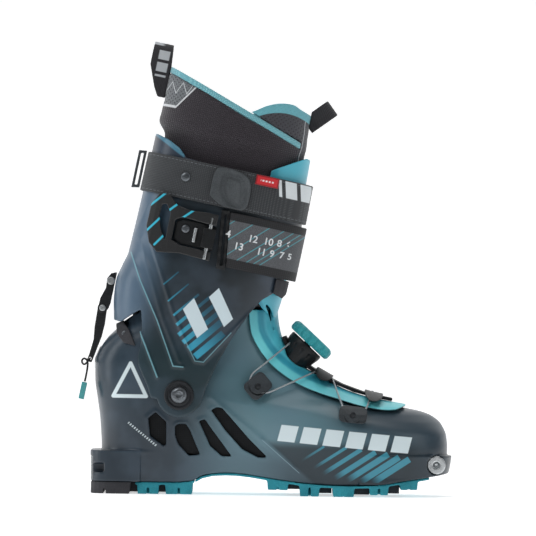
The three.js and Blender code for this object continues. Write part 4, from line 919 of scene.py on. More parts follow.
def cuff_paint(place):
    x, y, z = place.split()
    u, _, w = cuff_axes(place)
    outer = y.ramp(-6, -10)
    # Painted highlight: the rear of the cuff is coloured lighter than its front.
    tone = u.ramp(-26, -56).colour((30, 42, 50), (82, 104, 124))
    tone = w.ramp(150, 195).colour(tone, (46, 56, 70))
    tone = (w.ramp(62, 20) * 0.8).colour(tone, (22, 46, 52))
    tone = (u.ramp(22, 56) * w.ramp(40, 90) * 0.8).colour(tone, (50, 60, 72))
    tone = ((u - 20).near(w, (0, 100), (0, 130), 24, 16) * 0.7).colour(tone, (14, 24, 30))
    tone = (place.noise(0.025, 3.0).ramp(0.45, 0.62) * 0.14).colour(tone, (96, 112, 132))
    slant = z * 0.760 - x * 0.649
    run = x * 0.760 + z * 0.649
    bars = None
    for centre, half, start, end in (
        (77.6, 2.8, 83, 113), (85.7, 2.6, 83, 118), (92.9, 2.0, 83, 122), (99.9, 1.7, 84, 122),
        (107.3, 1.3, 88, 124), (114.9, 0.9, 91, 118), (126.7, 0.6, 95, 117),
        (139.5, 0.55, 101, 117),
    ):
        bar = slant.within(centre - half, centre + half, 0.3) * run.within(start, end, 0.6)
        bars = bar if bars is None else bars.most(bar)
    glow = run.ramp(120, 84).colour((32, 78, 98), (58, 156, 184))
    tone = (bars * outer).colour(tone, glow)
    mark = x.inside(z, [(14.1, 128.3), (23, 135.7), (11.2, 160.9), (2.3, 151.8)])
    mark = mark.most(x.inside(z, [(36, 137.6), (43.3, 144.2), (31.5, 169.4), (23.4, 161.9)]))
    tone = (mark * outer).colour(tone, (206, 222, 228))
    lines = None
    for line, half in ((rib_long, 0.5), (rib_short, 0.6)):
        for a, b in zip(line, line[1:]):
            part = u.near(w, a, b, half, 0.25)
            lines = part if lines is None else lines.most(part)
    edge = u.near(w, panel_edge[3], panel_edge[4], 0.4, 0.3)
    for a, b in ((4, 5), (5, 6)):
        edge = edge.most(u.near(w, panel_edge[a], panel_edge[b], 0.4, 0.3))
    tone = (lines.most(edge * 0.8) * outer * 0.75).colour(tone, (120, 172, 184))
    rim = (u.within(-90, -36) * (w - 205 + (u + 60) * 0.5).ramp(-3.4, -1.8)) * w.ramp(186, 192)
    tone = (rim * 0.6).colour(tone, (84, 150, 176))
    return {"Base Color": tone, "Roughness": place.noise(0.8, 2.0) * 0.1 + 0.33,
            "Height": (place.noise(1.6, 2.0), 0.02)}


cuff_look = finish_of("cuff_nylon", cuff_paint, "cuff_plastic", Coat_Weight=0.2,
                      Coat_Roughness=0.3, Specular_IOR_Level=0.35)
dress(cuff, cuff_look, "cuff", "cuff")

# ---- Tongue of the shell --------------------------------------------------------------------
# A soft teal tongue that laps over the throat of the shell and runs up inside the cuff. It is
# one moulding with lengthwise grooves, and bends at the ankle.
lower = loft("tongue_low", np.linspace(60, 154, 90), lambda z: shell_ends(z, 2.8),
             lambda x, z: shell_half(x, z, 2.8), 220)
combine(lower, "DIFFERENCE", loft("under", np.linspace(58, 158, 90), lambda z: shell_ends(z, 0.4),
                                  lambda x, z: shell_half(x, z, 0.4), 220))
combine(lower, "INTERSECT", prism("region", list(tongue_edge) + [(186, 152), (56, 152)]))
upper = band("tongue_high", np.linspace(78, 211, 60), -5.8, -3.4,
             [(52, 83), (62, 77), (90, 76), (90, 207), (62, 211), (34, 194), (22, 150), (30, 104),
              (42, 92)], -44, 44)
lean(upper)
combine(lower, "UNION", upper)
combine(lower, "DIFFERENCE", prism("slot", curve_through(
    [(70.5, 157), (74.5, 151), (77, 141), (77.2, 136.5), (75.6, 136), (74.2, 142), (71.6, 150.5),
     (69.6, 155.5)], 24), -60, -12))
mould(lower, 0.6, 3)
turn_toe(lower)


def gap_to(across, up, line):
    """Distance to a line through points, as a shader value."""
    best = None
    for a, b in zip(line, line[1:]):
        dx, dy = b[0] - a[0], b[1] - a[1]
        size = dx * dx + dy * dy
        t = across.sum("DIVIDE", (across - a[0]) * dx + (up - a[1]) * dy, size, clamp=True)
        h, v = across - a[0] - t * dx, up - a[1] - t * dy
        gap = across.sum("SQRT", h * h + v * v)
        best = gap if best is None else best.least(gap)
    return best


def tongue_paint(place):
    x, _, z = place.split()
    gap = gap_to(x, z, tongue_edge[::3] + [tongue_edge[-1]])
    tone = gap.ramp(12, 26).colour((92, 206, 224), (74, 184, 206))
    # Painted shade: the grooves are coloured darker as well as bumped in.
    groove = gap.within(7.4, 12.4, 1.6)
    tone = (groove * 0.8).colour(tone, (34, 146, 172))
    tone = gap.ramp(7.6, 6.2).colour(tone, (112, 220, 228))
    # Painted shadow: a dark line along the edge of the tongue, where it laps over the shell.
    tone = (gap.ramp(0.9, 0.2) * 0.9).colour(tone, (24, 52, 60))
    # Painted shade on the tongue where it lies under the front of the cuff.
    tone = (x.ramp(84, 74) * z.ramp(120, 150) * 0.45).colour(tone, (30, 120, 142))
    tone = (place.noise(0.04, 2.0).ramp(0.4, 0.65) * 0.2).colour(tone, (70, 176, 196))
    return {"Base Color": tone, "Roughness": place.noise(1.1, 2.0) * 0.1 + 0.38,
            "Height": (1 - groove, 0.5)}


tongue_look = finish_of("teal_nylon", tongue_paint, "tongue_plastic", Coat_Weight=0.15,
                        Coat_Roughness=0.3)
dress(lower, tongue_look, None, "shell_tongue")
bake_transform(lower)

# ---- Liner ----------------------------------------------------------------------------------
# A heat-moulded foam boot in fine black mesh, with a padded teal collar, a knit panel at the
# back and white piping. Its own tongue closes the front.

def shaft_ends(w, inset):
    rear, front = cuff_ends(w, -inset)
    swell = ease(w, 205, 218) * 7
    slim = (1 - ease(w, 78, 106)) * 7
    return rear - swell + slim, front - 0.5


def shaft_half(u, w, inset):
    rear, front = shaft_ends(w, inset)
    middle = (rear + front) / 2
    t = np.clip(np.abs(u - middle) / (front - middle), 0, 1)
    width = cuff_width(w) - inset + ease(w, 205, 218) * 4.2 - (1 - ease(w, 78, 106)) * 4.9
    return width * (1 - t**2.4) ** (1 / 2.4)


def shaft(name, inset, low, high):
    body = loft(name, np.linspace(low, high, 90), lambda w: shaft_ends(w, inset),
                lambda u, w: shaft_half(u, w, inset), 110)
    lean(body)
    below = loft("below", np.linspace(60, 156, 50), lambda z: shell_ends(z, 2.8 - inset),
                 lambda x, z: shell_half(x, z, 2.8 - inset), 110)
    gate = prism("gate", [(-300, 155), (300, 155), (300, 700), (-300, 700)])
    combine(below, "UNION", gate)
    return combine(body, "INTERSECT", below)


def foot(name, inset, rise, top):
    body = loft(name, np.linspace(26, top, 70), lambda z: shell_ends(z, -inset),
                lambda x, z: shell_half(x, z, -inset), 110)
    floor = [(x, z + rise) for x, z in floor_line] + [(240, -40), (-90, -40)]
    return combine(body, "DIFFERENCE", prism("floor", floor))


def rim_cut(drop):
    return lean(prism("rim", [(-90, 271.8 - drop), (90, 210.4 - drop), (90, 400), (-90, 400)]))


liner = foot("liner_skin", 8, 3.8, 152)
combine(liner, "UNION", shaft("outer", 7.6, 46, 290))
cavity = foot("cavity", 13, 7.8, 152)
combine(cavity, "UNION", shaft("inner", 14.1, 44, 296))
combine(liner, "DIFFERENCE", cavity)
opening = lean(prism("opening", [(18, 86), (90, 86), (90, 300), (18, 300)], -25, 25))
combine(liner, "DIFFERENCE", opening)
collar = bpy.data.objects.new("collar", liner.data.copy())
bpy.context.scene.collection.objects.link(collar)
combine(liner, "DIFFERENCE", rim_cut(5.4))
combine(collar, "DIFFERENCE", rim_cut(0))
combine(collar, "INTERSECT", rim_cut(5.2))
mould(liner, 1.0, 6)
mould(collar, 0.6, 24)


def soft_folds(body, depth):
    """Shallow creases across a padded piece, as foam takes when it bends."""
    mesh = body.data
    count = len(mesh.vertices)
    points = np.empty(count * 3)
    mesh.vertices.foreach_get("co", points)
    normals = np.empty(count * 3)
    mesh.vertices.foreach_get("normal", normals)
    points, normals = points.reshape(-1, 3) * 1000, normals.reshape(-1, 3)
    x, y, z = points.T
    w = x * LEAN_SIN + (z - PIVOT_HEIGHT) * LEAN_COS
    fold = np.sin(w * 0.21 + 1.3 * np.sin(x * 0.05) + 0.9 * np.sin(y * 0.06 + 1))
    fold = fold + 0.5 * np.sin(w * 0.47 + 0.8 * np.sin(x * 0.09 + 2))
    move = depth * fold * ease(w, 190, 215)
    points = points + normals * move[:, None]
    mesh.vertices.foreach_set("co", (points / 1000).ravel())
    mesh.update()
    return body


soft_folds(liner, 0.35)


def liner_paint(place):
    u, _, w = cuff_axes(place)
    mesh_cells = u.wave(1.6) * w.wave(1.6)
    tone = mesh_cells.ramp(0.1, 0.8).colour((36, 31, 37), (58, 50, 58))
    tone = (place.noise(0.05, 3.0).ramp(0.4, 0.65) * 0.5).colour(tone, (44, 39, 45))
    panel_line = w - 230.6 - (u + 51.6).most(0.0) * 1.45
    knit = panel_line.ramp(0, 1.0) * u.ramp(-30, -34)
    cells = ((u + w) * 0.7).saw(2.4).ramp(0.9, 0.5).most(((u - w) * 0.7).saw(2.4).ramp(0.9, 0.5))
    knit_tone = cells.colour((52, 54, 58), (108, 112, 116))
    tone = knit.colour(tone, knit_tone)
    zigzag = (w - 240 - u.saw(9.0) * 2.0 - (u + 60) * 0.1).within(0, 1.1, 0.3) * knit
    tone = (zigzag * 0.9).colour(tone, (212, 216, 218))
    piping = panel_line.within(-1.6, 0.5, 0.3) * u.ramp(-30, -34)
    tone = piping.colour(tone, (214, 216, 219))
    seam = panel_line.within(-3.4, -2.6, 0.3) * 0.6
    tone = (seam * u.ramp(-30, -34)).colour(tone, (24, 22, 26))
    return {"Base Color": tone, "Roughness": mesh_cells * 0.1 + 0.82,
            "Height": (mesh_cells + knit * cells, 0.35)}


liner_look = finish_of("liner_mesh", liner_paint, "liner_cloth", Sheen_Weight=0.25)


def knit_paint(place):
    u, v, w = cuff_axes(place)
    loops = (u + v).wave(1.5) * w.wave(1.3)
    tone = loops.ramp(0.1, 0.7).colour((104, 172, 184), (146, 208, 214))
    return {"Base Color": tone, "Roughness": loops * 0.1 + 0.8, "Height": (loops, 0.3)}


collar_look = finish_of("collar_knit", knit_paint, "collar_cloth", Sheen_Weight=0.3)
dress(liner, liner_look, None, "liner")
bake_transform(liner)
dress(collar, collar_look, "cuff", "liner_collar")

inner_tongue = loft("inner_tongue", np.linspace(70, 290, 70), lambda w: shaft_ends(w, 8.2),
                    lambda u, w: shaft_half(u, w, 8.2), 110)
combine(inner_tongue, "DIFFERENCE",
        loft("back", np.linspace(68, 292, 70), lambda w: shaft_ends(w, 19.6),
             lambda u, w: shaft_half(u, w, 19.6), 110))
tongue_top = curve_through([(20, 239), (34, 249), (44, 251), (54, 246), (90, 232)], 20)
combine(inner_tongue, "INTERSECT",
        prism("outline", [(90, 90), (20, 90)] + tongue_top, -24.6, 24.6))
wings = loft("wings", np.linspace(200, 290, 50), lambda w: shaft_ends(w, 8.0),
             lambda u, w: shaft_half(u, w, 8.0), 110)
combine(wings, "DIFFERENCE",
        loft("back", np.linspace(198, 292, 50), lambda w: shaft_ends(w, 15.0),
             lambda u, w: shaft_half(u, w, 15.0), 110))
combine(wings, "INTERSECT", prism("arc", curve_through(
    [(9, 238.4), (14, 241), (22, 246.5), (32, 250.5), (43, 251.5), (52, 248), (90, 236)], 30)
    + [(90, 212), (46, 226.4)]))
combine(inner_tongue, "UNION", wings)
mould(inner_tongue, 0.9, 14)
lean(inner_tongue)
soft_folds(inner_tongue, 0.3)


def inner_tongue_paint(place):
    u, v, w = cuff_axes(place)
    cells = ((u + w) * 0.7).saw(2.6).ramp(1.0, 0.5).most(((u - w) * 0.7).saw(2.6).ramp(1.0, 0.5))
    tone = cells.colour((38, 36, 42), (66, 66, 72))
    rim = (w - 251.5 + (u - 40) * (u - 40) * 0.0125).ramp(-8.6, -7.8)
    tone = rim.colour(tone, (108, 178, 190))
    edge = abs(v).within(21.6, 22.8, 0.4) * (1 - rim)
    tone = edge.colour(tone, (188, 190, 194))
    return {"Base Color": tone, "Roughness": cells * 0.1 + 0.8, "Height": (cells, 0.3)}


inner_tongue_look = finish_of("tongue_mesh", inner_tongue_paint, "liner_cloth", Sheen_Weight=0.2)
dress(inner_tongue, inner_tongue_look, None, "liner_tongue")
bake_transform(inner_tongue)

# ---- Boot board and insole ------------------------------------------------------------------
# A closed-cell foam board under the liner, and the foam insole inside it. Both lie loose on
# the floor of the shell and only show from above.
foam_look = grain("foam", "board_foam", (40, 42, 46), (66, 70, 76), 0.85, 2.0, 0.2)
dress(soften("boot_board", 0.9, 4), foam_look, "shell", "boot_board")
dress(soften("insole", 0.9, 4), foam_look, "shell", "insole")

# ---- Lace dial and its spine ----------------------------------------------------------------
# A black nylon spine up the tongue carries the dial: a round base, a steel spindle and a teal
# knob with sixteen finger grooves, which pulls out to free the lace and turns to wind it.
black_plastic = grain("black_plastic", "black_plastic", (18, 19, 20), (34, 36, 38), 0.42, 1.6)
dress(soften("tongue_spine", 0.5, 3), black_plastic, "shell", "tongue_spine")
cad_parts["dial_spindle"].data.materials.clear()
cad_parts["dial_spindle"].data.materials.append(dark_steel)
dial_centre, dial_axis = (108.0, 0.0, 127.9), (0.678, 0.0, 0.735)
housing = lathe("dial_housing", [
    (0, -24), (13.6, -24), (14.6, -14), (15.6, -9.6), (15.6, -6.2), (14.8, -5.3), (3.4, -5.2),
    (3.4, -4.9), (0, -4.9),
], dial_centre, dial_axis, 96)
combine(housing, "DIFFERENCE",
        loft("under", np.linspace(60, 158, 60), lambda z: shell_ends(z, 3.1),
             lambda x, z: shell_half(x, z, 3.1), 160),
        lathe("bore", [(0, -30), (3.3, -30), (3.3, 0), (0, 0)], dial_centre, dial_axis))
for turn in np.linspace(0, 2 * math.pi, 12, endpoint=False):
    side_way = Vector((0.735, 0, -0.678)) * math.cos(turn) + Vector((0, 1, 0)) * math.sin(turn)
    rib = Vector(dial_centre) + side_way * 15.9
    combine(housing, "DIFFERENCE",
            lathe("flute", [(0, -26), (1.5, -26), (1.5, -10.5), (0, -9)], rib, dial_axis, 20))
dress(housing, black_plastic, "shell", "dial_base")


def grooves(radius, height, angle):
    if radius < 17.4:
        return radius
    return radius - 1.5 * max(0.0, math.cos(16 * angle)) ** 2 * min(1.0, (radius - 17.4) / 1.4)


knob = lathe("dial_knob", [
    (0, -4.6), (18.2, -4.6), (19.2, -3.9), (20, -2.6), (20, 1.6), (19.4, 2.7), (18.0, 3.9),
    (16.6, 4.5), (15.2, 4.55), (14.0, 4.0), (12.6, 3.6), (9.4, 3.6), (8.8, 4.1), (8.0, 4.3),
    (7.0, 4.2), (6.4, 3.7), (0, 3.7),
], dial_centre, dial_axis, 192, grooves)
combine(knob, "DIFFERENCE", lathe("bore", [(0, -6), (3.5, -6), (3.5, 2.2), (0, 2.2)],
                                  dial_centre, dial_axis))
knob_look = grain("knob_rubber", "knob_plastic", (42, 142, 150), (66, 170, 176), 0.45)
dress(knob, knob_look, "dial_knob", "dial_knob")

# ---- Laces and their guides -----------------------------------------------------------------
# Stranded steel lace with a clear coat, run from the dial through two moulded guides on each
# side to two clips that cross the tongue. A pin holds each guide to the shell.
def strand_paint(place):
    x, y, z = place.split()
    lay = (x * 1.3 + z * 1.1 + y).wave(1.1)
    tone = lay.colour((128, 134, 138), (206, 211, 214))
    return {"Base Color": tone, "Roughness": lay * 0.1 + 0.28, "Height": (lay, 0.08)}


strand = finish_of("steel_lace", strand_paint, "lace_wire", Metallic=0.6)
guide_look = grain("guide_plastic", "grey_plastic", (44, 48, 51), (64, 69, 73), 0.45)


def tube(name, route, radius, sides=20):
    """A round tube along a route, closed at both ends."""
    route = [Vector(p) for p in route]
    across = None
    points, faces = [], []
    for k, spot in enumerate(route):
        ahead = (route[min(k + 1, len(route) - 1)] - route[max(k - 1, 0)]).normalized()
        if across is None:
            across = ahead.orthogonal().normalized()
        across = (across - ahead * across.dot(ahead)).normalized()
        other = ahead.cross(across)
        for j in range(sides):
            a = 2 * math.pi * j / sides
            points.append(tuple(spot + across * radius * math.cos(a)
                                + other * radius * math.sin(a)))
    for row in range(len(route) - 1):
        for j in range(sides):
            a, b = row * sides + j, row * sides + (j + 1) % sides
            faces.append((a, b, b + sides, a + sides))
    faces.append(tuple(range(sides))[::-1])
    faces.append(tuple(range((len(route) - 1) * sides, len(route) * sides)))
    return object_of(name, points, faces)


lace_runs = [
    [(91, 125.6, 7.4), (83, 119.0, 5.4), (75, 112.4, 4.6), (67, 105.9, 4.4), (60.6, 100.6, 4.2),
     (58.2, 96.4, 4.0), (57.6, 91.6, 4.0), (61, 86.6, 4.0), (67, 84.2, 4.0), (74, 84.9, 4.0),
     (82, 88.4, 4.2), (92, 92.9, 5.0), (102, 97.6, 5.2), (112, 101.8, 5.2), (116, 103.2, 4.8)],
    [(124.6, 97.6, 4.8), (127, 92, 5.2), (129.8, 84.4, 5.0), (132.4, 77.6, 4.4),
     (134.8, 72.0, 4.0), (139, 67.8, 4.0), (145.6, 66.6, 4.0), (150.6, 69.0, 4.0),
     (153.4, 73.2, 4.2), (155.6, 78.4, 4.6), (157.6, 83.4, 4.8), (159, 86.4, 4.4)],
]
clips = None
for low_x, low_z, high_x, high_z in ((113.5, 97.5, 125.5, 105.5), (154.5, 82.0, 165.5, 88.5)):
    middle_x, middle_z = (low_x + high_x) / 2, (low_z + high_z) / 2
    slope = math.atan2(-8, 12) if middle_x < 140 else math.atan2(-5, 12)
    region = [(middle_x + 8 * math.cos(slope + t) * (1.0 if k % 2 else 0.94),
               middle_z + 8 * math.sin(slope + t) * 0.9)
              for k, t in enumerate(np.linspace(0, 2 * math.pi, 24, endpoint=False))]
    clip = loft("clips", np.linspace(60, 154, 70), lambda z: shell_ends(z, 7.2),
                lambda x, z: shell_half(x, z, 7.2), 180)
    combine(clip, "DIFFERENCE",
            loft("under", np.linspace(58, 158, 70), lambda z: shell_ends(z, 3.1),
                 lambda x, z: shell_half(x, z, 3.1), 180))
    combine(clip, "INTERSECT", prism("region", region, -60, 60))
    clips = clip if clips is None else combine(clips, "UNION", clip)
mould(clips, 0.5, 4)
turn_toe(clips)
dress(clips, black_plastic, "shell")
for side, sign in (("lateral", -1), ("medial", 1)):
    lace = None
    for run in lace_runs:
        flat = curve_through([(x, z) for x, z, rise in run], 70)
        rises = curve_through([(x, rise) for x, z, rise in run], 70)
        route = [(x, sign * float(shell_half(x, z, rise[1])), z) for (x, z), rise in
                 zip(flat, rises)]
        part = turn_toe(tube("laces_" + side, route, 0.75, 14))
        lace = part if lace is None else combine(lace, "UNION", part)
    dress(lace, strand, "shell", "lace_" + side)
    for where, x, z in (("upper", 64.4, 89.7), ("lower", 142.4, 67.4)):
        name = "wire_guide_" + where + "_" + side
        guide = soften(name, 0.4, 3)
        spots = [v.co * 1000 for v in guide.data.vertices
                 if (v.co.x * 1000 - x) ** 2 + (v.co.z * 1000 - z) ** 2 < 16]
        face = max(abs(s.y) for s in spots)
        groove = lathe("groove", [(6.6, -1.1), (7.6, -1.1), (7.9, 3), (6.3, 3), (6.6, -1.1)],
                       (x, sign * face, z), (0, sign, 0))
        well = lathe("well", [(0, -1.9), (3.0, -1.9), (3.9, 3), (0, 3)], (x, sign * face, z),
                     (0, sign, 0))
        combine(guide, "DIFFERENCE", groove, well)
        dress(guide, guide_look, "shell", name)
        pin = lathe("guide_pin_" + where + "_" + side, dome(2.3, 0.9),
                    (x, sign * (face - 2.0), z), (0, sign, 0))
        dress(pin, blackened, "shell")

# ---- Power strap ----------------------------------------------------------------------------
# A wide woven strap round the top of the cuff, with stitched edges and pale printed blocks, a
# moulded grip, a red reflector tag, a rivet and a wire ring at its end.
def webbing(tone_low, tone_high, slot, name, prints=None, period=1.7):
    def paint(place):
        u, v, w = cuff_axes(place)
        across = (abs(v) * 0.8 + u).wave(period)
        rows = w.wave(period * 0.8)
        weave = across * rows
        tone = weave.ramp(0.05, 0.8).colour(tone_low, tone_high)
        tone = (place.noise(0.08, 2.0).ramp(0.4, 0.65) * 0.25).colour(tone, tone_low)
        if prints is not None:
            tone = prints(u, v, w, tone)
        return {"Base Color": tone, "Roughness": weave * 0.1 + 0.72, "Height": (weave, 0.18)}

    return finish_of(name, paint, slot, Sheen_Weight=0.1)


def strap_prints(u, v, w, tone):
    seam = w.within(159.4, 160.0, 0.2).most(w.within(187.6, 188.2, 0.2))
    seam = seam * u.saw(3.2).ramp(1.1, 0.9)
    tone = (seam * 0.7).colour(tone, (104, 108, 112))
    slant = u + w * 0.25
    outer = v.ramp(-10, -14)
    blocks = slant.saw(12.6).ramp(4.9, 4.6) * slant.within(90.4, 118, 0.3)
    blocks = blocks * w.within(175.6, 189.0, 0.3) * outer
    return blocks.colour(tone, (222, 228, 231))


strap = band("power_strap_skin", np.linspace(157.5, 190, 30), 0.4, 2.7, None,
             relief=lambda u, w: 0.2 * (ease(w, 159, 163) * ease(-w, -188, -184)))
mould(strap, 0.6, 3)
lean(strap)
dress(strap, webbing((44, 46, 49), (72, 76, 79), "strap_webbing", "power_webbing", strap_prints),
      "cuff", "power_strap")


grip_line = curve_through([
    (-9.6, 166), (-9.6, 178), (-8, 186.8), (-3, 189.2), (11, 188.4), (19, 184.6), (22.4, 177),
    (22.8, 165), (20, 158.8), (12, 156.8), (4, 158), (-4, 161.4), (-9.3, 165.2),
], 72)
grip_pad = curve_through([
    (0.6, 182.4), (3, 184.2), (12, 183.2), (16, 180), (17.6, 172), (18, 164.6), (15.6, 161.8),
    (9, 162.6), (3.6, 167), (0.6, 174), (0.2, 181.4),
], 50)


def grip_relief(u, w):
    """A channel round a raised pad, inside a raised frame."""
    gap, _ = reach(u, w, grip_pad + [grip_pad[0]])
    return -1.7 * np.exp(-(((gap - 1.2) / 1.5) ** 4)) - 0.2


grip = band("strap_grip", np.linspace(158, 191, 40), 3.3, 6.1, grip_line, -300, -6, grip_relief)
mould(grip, 0.45, 3)
lean(grip)
dress(grip, grain("grip_rubber", "strap_rubber", (62, 66, 69), (84, 88, 91), 0.55), "cuff",
      "strap_buckle")


def tag_paint(place):
    u, _, w = cuff_axes(place)
    edge = u.within(26.2, 42.8, 0.2) * w.within(182.4, 188.6, 0.2)
    tone = edge.colour((150, 22, 30), (206, 36, 44))
    dots = u.saw(2.6).ramp(0.9, 0.7) * w.within(184.8, 186.2, 0.2) * u.within(29, 40, 0.2)
    tone = dots.colour(tone, (238, 226, 226))
    return {"Base Color": tone, "Roughness": place.noise(1.5, 2.0) * 0.1 + 0.4}


tag = band("tag", np.linspace(180.4, 190.6, 12), 3.3, 4.2,
           curve_through([(25, 182.4), (26, 181.4), (43, 181.4), (44, 182.4), (44, 188.6),
                          (43, 189.6), (26, 189.6), (25, 188.6), (25, 182.8)], 40), -300, -6)
mould(tag, 0.3, 2)
lean(tag)
dress(tag, finish_of("red_tag", tag_paint, "red_tag"), "cuff", "reflector_tag")


def rivet_at(name, u, w, rise, sign, radius, height, look, carrier, *nodes):
    face = max(float(cuff_half(u + d, w, rise)) for d in (-radius, 0, radius)) + 0.35
    piece = lathe(name, dome(radius, height), (u, sign * face, w), (0, sign, 0))
    lean(piece)
    return dress(piece, look, carrier, *nodes)


rivet_at("strap_rivet_head", -31.5, 175.4, 2.9, -1, 3.7, 1.7, dark_steel, "cuff", "strap_rivet")
dress(soften("strap_ring", 0.35, 3), dark_steel, "strap_ring", "strap_ring")

# ---- Lower strap ----------------------------------------------------------------------------
# A stiff strap across the front of the cuff: a heather-grey face between black edges, with
# slanted lines and the numbers of its size scale. Two rivets hold its far end.
lower_strap = band("lower_strap_skin", np.linspace(110, 155, 30), 1.2, 4.2, None,
                   relief=lambda u, w: 0.2 * (ease(w, 110, 118) * ease(-w, -155, -147)))
combine(lower_strap, "DIFFERENCE",
        prism("near_end", [(-90, 100), (16, 100), (16, 107.7), (10.1, 156), (10.1, 170),
                           (-90, 170)], -300, 0.5),
        prism("far_end", [(-90, 100), (-16, 100), (-16, 170), (-90, 170)], 0, 300))
mould(lower_strap, 0.6, 3)
lean(lower_strap)


def strap_paint(place):
    u, v, w = cuff_axes(place)
    fleck = place.noise(1.6, 4.0, 0.7)
    tone = fleck.ramp(0.35, 0.65).colour((70, 72, 76), (98, 100, 104))
    near = v.ramp(6, 2)
    slant = u - w * 1.05
    lines = None
    for at in (-141, -126, -112, -100, -92, -86, -81):
        line = slant.within(at - 0.55, at + 0.55, 0.25)
        lines = line if lines is None else lines.most(line)
    tone = (lines * near * 0.8).colour(tone, (82, 160, 172))
    edge = w.within(117.6, 148.6, 0.4)
    weave = (u.wave(1.6) * w.wave(1.4)).ramp(0.1, 0.8).colour((24, 24, 27), (40, 41, 44))
    tone = (1 - edge * near).colour(tone, weave)
    return {"Base Color": tone, "Roughness": fleck * 0.1 + 0.68, "Height": (fleck, 0.12)}


dress(lower_strap, finish_of("heather_strap", strap_paint, "strap_webbing"), "cuff",
      "lower_strap")
figures = None
for text, u, w, size in (
    ("4", 12.2, 137.0, 6.4), ("13", 22.6, 128.6, 6.4), ("12", 32.8, 137.0, 6.4),
    ("10", 45.6, 137.4, 6.4), ("8", 54.6, 138.0, 6.2), ("6", 62.0, 138.4, 6.0),
    ("11", 41.6, 128.2, 6.4), ("9", 50.4, 128.4, 6.2), ("7", 58.4, 128.8, 6.0),
    ("5", 65.0, 129.0, 5.6),
):
    word = bpy.data.curves.new("figure", "FONT")
    word.body = text
    word.size = size / 1000 * 1.25
    word.extrude = 0.00006
    word.offset = 0.00018
    word.align_x = "CENTER"
    word.align_y = "CENTER"
    holder = bpy.data.objects.new("figure", word)
    bpy.context.scene.collection.objects.link(holder)
    drawn = holder.evaluated_get(bpy.context.evaluated_depsgraph_get()).to_mesh()
    flat = np.empty(len(drawn.vertices) * 3)
    drawn.vertices.foreach_get("co", flat)
    flat = flat.reshape(-1, 3) * 1000
    spot_u, spot_w = u + flat[:, 0], w + flat[:, 1]
    face = cuff_half(spot_u, spot_w, 4.4) + 0.12 + flat[:, 2]
    placed = on_cuff(np.column_stack([spot_u, -face, spot_w]))
    piece = object_of("figures", [tuple(p) for p in placed],
                      [tuple(p.vertices) for p in drawn.polygons], smooth=False)
    holder.to_mesh_clear()
    bpy.data.objects.remove(holder)
    if figures is None:
        figures = piece
    else:
        joined = bmesh.new()
        joined.from_mesh(figures.data)
        joined.from_mesh(piece.data)
        joined.to_mesh(figures.data)
        joined.free()
        bpy.data.objects.remove(piece)
figures.name = "scale_figures"
dress(figures, grain("white_print", "strap_webbing", (206, 210, 212), (226, 229, 231), 0.5), "cuff")

strap_frame = band("frame_skin", np.linspace(106, 157, 30), 0.8, 4.5, [
    (2.9, 155.4), (8, 107.6), (15.6, 107.6), (9.7, 155.8)], -300, -6,
    relief=lambda u, w: -0.25 * np.cos(w * 0.7))
combine(strap_frame, "DIFFERENCE",
        prism("frame_hole", [(6, 152.4), (10.4, 110.8), (13, 110.8), (7.6, 152.4)], -300, 0))
mould(strap_frame, 0.4, 3)
lean(strap_frame)
dress(strap_frame, black_plastic, "strap_frame", "strap_frame")
dress(soften("shin_flap", 0.4, 4), black_rubber, "cuff", "shin_flap")
for where, w in (("upper", 143), ("lower", 122)):
    rivet_at("anchor_head_" + where, -6, w, 4.4, 1, 5, 1.7, bright_steel, "cuff",
             "strap_anchor_rivet_" + where)

# ---- Buckle ---------------------------------------------------------------------------------
# A glass-filled nylon lever, looped round its base and turning on a steel pin, with cyan
# flashes printed across the loop. A screw and a steel catch pin sit in the base.
def lever_paint(place):
    u, v, w = cuff_axes(place)
    fine = place.noise(1.6, 3.0)
    tone = fine.ramp(0.3, 0.7).colour((18, 19, 20), (32, 33, 35))
    flashes = None
    for start, end in (((-58, 143.6), (-43, 161.2)), ((-39, 146.1), (-32.4, 153.4)),
                       ((-27.2, 142.0), (-19, 150.4)), ((-55, 124.4), (-44.4, 139.4)),
                       ((-45.2, 116.2), (-39.6, 124.6))):
        flash = u.near(w, start, end, 0.85, 0.3)
        flashes = flash if flashes is None else flashes.most(flash)
    tone = (flashes * v.ramp(-20, -24)).colour(tone, (52, 182, 208))
    return {"Base Color": tone, "Roughness": fine * 0.12 + 0.36, "Height": (fine, 0.04)}


dress(soften("buckle_lever", 0.4, 4), finish_of("lever_nylon", lever_paint, "black_plastic",
                                                Coat_Weight=0.2), "buckle_lever", "buckle_lever")
dress(soften("buckle_base", 0.35, 2), black_plastic, "cuff", "buckle_base")
dress(soften("buckle_pin", 0.3, 2), bright_steel, "cuff", "buckle_pin")
dress(soften("buckle_catch_pin", 0.3, 2), bright_steel, "cuff", "buckle_catch_pin")
screw = rivet_at("buckle_screw_head", -22.8, 134, 3.4, -1, 3.3, 1.5, dark_steel, "cuff",
                 "buckle_screw")
screw_face = float(cuff_half(-22.8, 134, 3.4))
for turn in (0.6, 0.6 + math.pi / 2):
    c, s = math.cos(turn), math.sin(turn)
    corners = [(-22.8 + a * c - b * s, 134 + a * s + b * c)
               for a, b in ((-2.2, -0.35), (2.2, -0.35), (2.2, 0.35), (-2.2, 0.35))]
    combine(screw, "DIFFERENCE", lean(prism("slot", corners, -80, -screw_face - 1.1)))

# ---- Walk lever -----------------------------------------------------------------------------
# An anodised black lever and its bracket on the back of the cuff, with bright steel rivets. It
# hooks on the lock plate of the shell for skiing and swings clear for walking.
anodised = finish_of("anodised_black", metal_paint((20, 21, 23), (40, 42, 45), 0.3),
                     "black_plastic", Metallic=0.3)
dress(soften("lever_bracket", 0.35, 2), anodised, "cuff", "lever_bracket")
dress(soften("walk_lever", 0.35, 2), anodised, "walk_lever", "walk_lever")
dress(soften("bracket_rivet", 0.25, 2), bright_steel, "cuff", "bracket_rivet")
dress(soften("lever_pin", 0.25, 2), bright_steel, "cuff", "lever_pin")

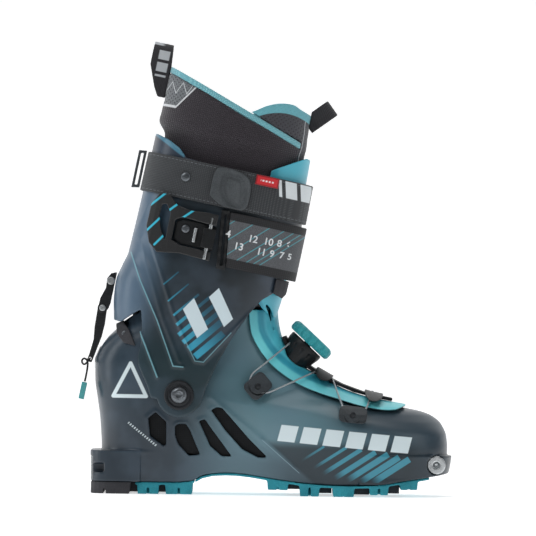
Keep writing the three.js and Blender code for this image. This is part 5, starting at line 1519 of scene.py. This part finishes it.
# ---- Pull loops -----------------------------------------------------------------------------
# Woven loops sewn to the back of the liner and to its tongue, to pull the liner on. Pale blocks
# are woven into the rear one.
def loop_prints(u, v, w, tone):
    bars = w.saw(10.0).ramp(3.9, 3.6) * abs(v).ramp(6.6, 6.2) * w.within(246, 284, 0.3)
    side_bars = w.saw(10.0).ramp(3.9, 3.6) * u.within(-74.5, -65.5, 0.4) * w.within(252, 281, 0.3)
    bars = (bars * u.ramp(-70, -74)).most(side_bars * abs(v).ramp(8.6, 9.0))
    return (bars * 0.9).colour(tone, (196, 200, 204))


loop_look = webbing((30, 29, 33), (56, 55, 60), "loop_webbing", "loop_weave", loop_prints, 1.3)
dress(soften("rear_pull_loop", 0.5, 14), loop_look, "cuff", "rear_pull_loop")
dress(soften("front_pull_loop", 0.5, 14), loop_look, "cuff", "front_pull_loop")

# ---- Pull cord and tab ----------------------------------------------------------------------
# A thin braided cord knotted through the hole of the walk lever, curled once and hanging free,
# with a moulded teal rubber tab at its end.
cord_stops = [
    (-78.2, -6.9, 13.5), (-78.2, -8.6, 13.6), (-78.6, -10.2, 12.6), (-79.6, -11, 10.4),
    (-81.4, -11.2, 8), (-83.4, -11.1, 8.6), (-84.2, -10.7, 10.8), (-82.8, -10.3, 12.6),
    (-80.6, -9.9, 12), (-79.2, -9.4, 9.6), (-78.7, -9, 6.4), (-78.5, -8.6, 3), (-78.4, -8.4, -0.6),
    (-78.4, -8.3, -3.4), (-78.4, -8.3, -5.9),
]
flat_route = curve_through([(u, w) for u, y, w in cord_stops], 40)
sweep_route = curve_through([(y, w) for u, y, w in cord_stops], 40)
cord_route = on_cuff([(a[0], b[0], a[1]) for a, b in zip(flat_route, sweep_route)])
cord = tube("cord", [tuple(p) for p in cord_route], 0.8)


def braid_paint(place):
    x, y, z = place.split()
    lay = (z + x).wave(1.2) * (z - x + y).wave(1.2)
    tone = lay.ramp(0.05, 0.8).colour((16, 16, 18), (44, 44, 48))
    return {"Base Color": tone, "Roughness": lay * 0.1 + 0.78, "Height": (lay, 0.08)}


dress(cord, finish_of("braid", braid_paint, "cord_fibre"), "pull_tab", "pull_cord")
tab = soften("pull_tab", 0.35, 5)
dress(tab, grain("teal_tab", "tab_rubber", (70, 148, 152), (96, 176, 178), 0.5), "pull_tab",
      "pull_tab")
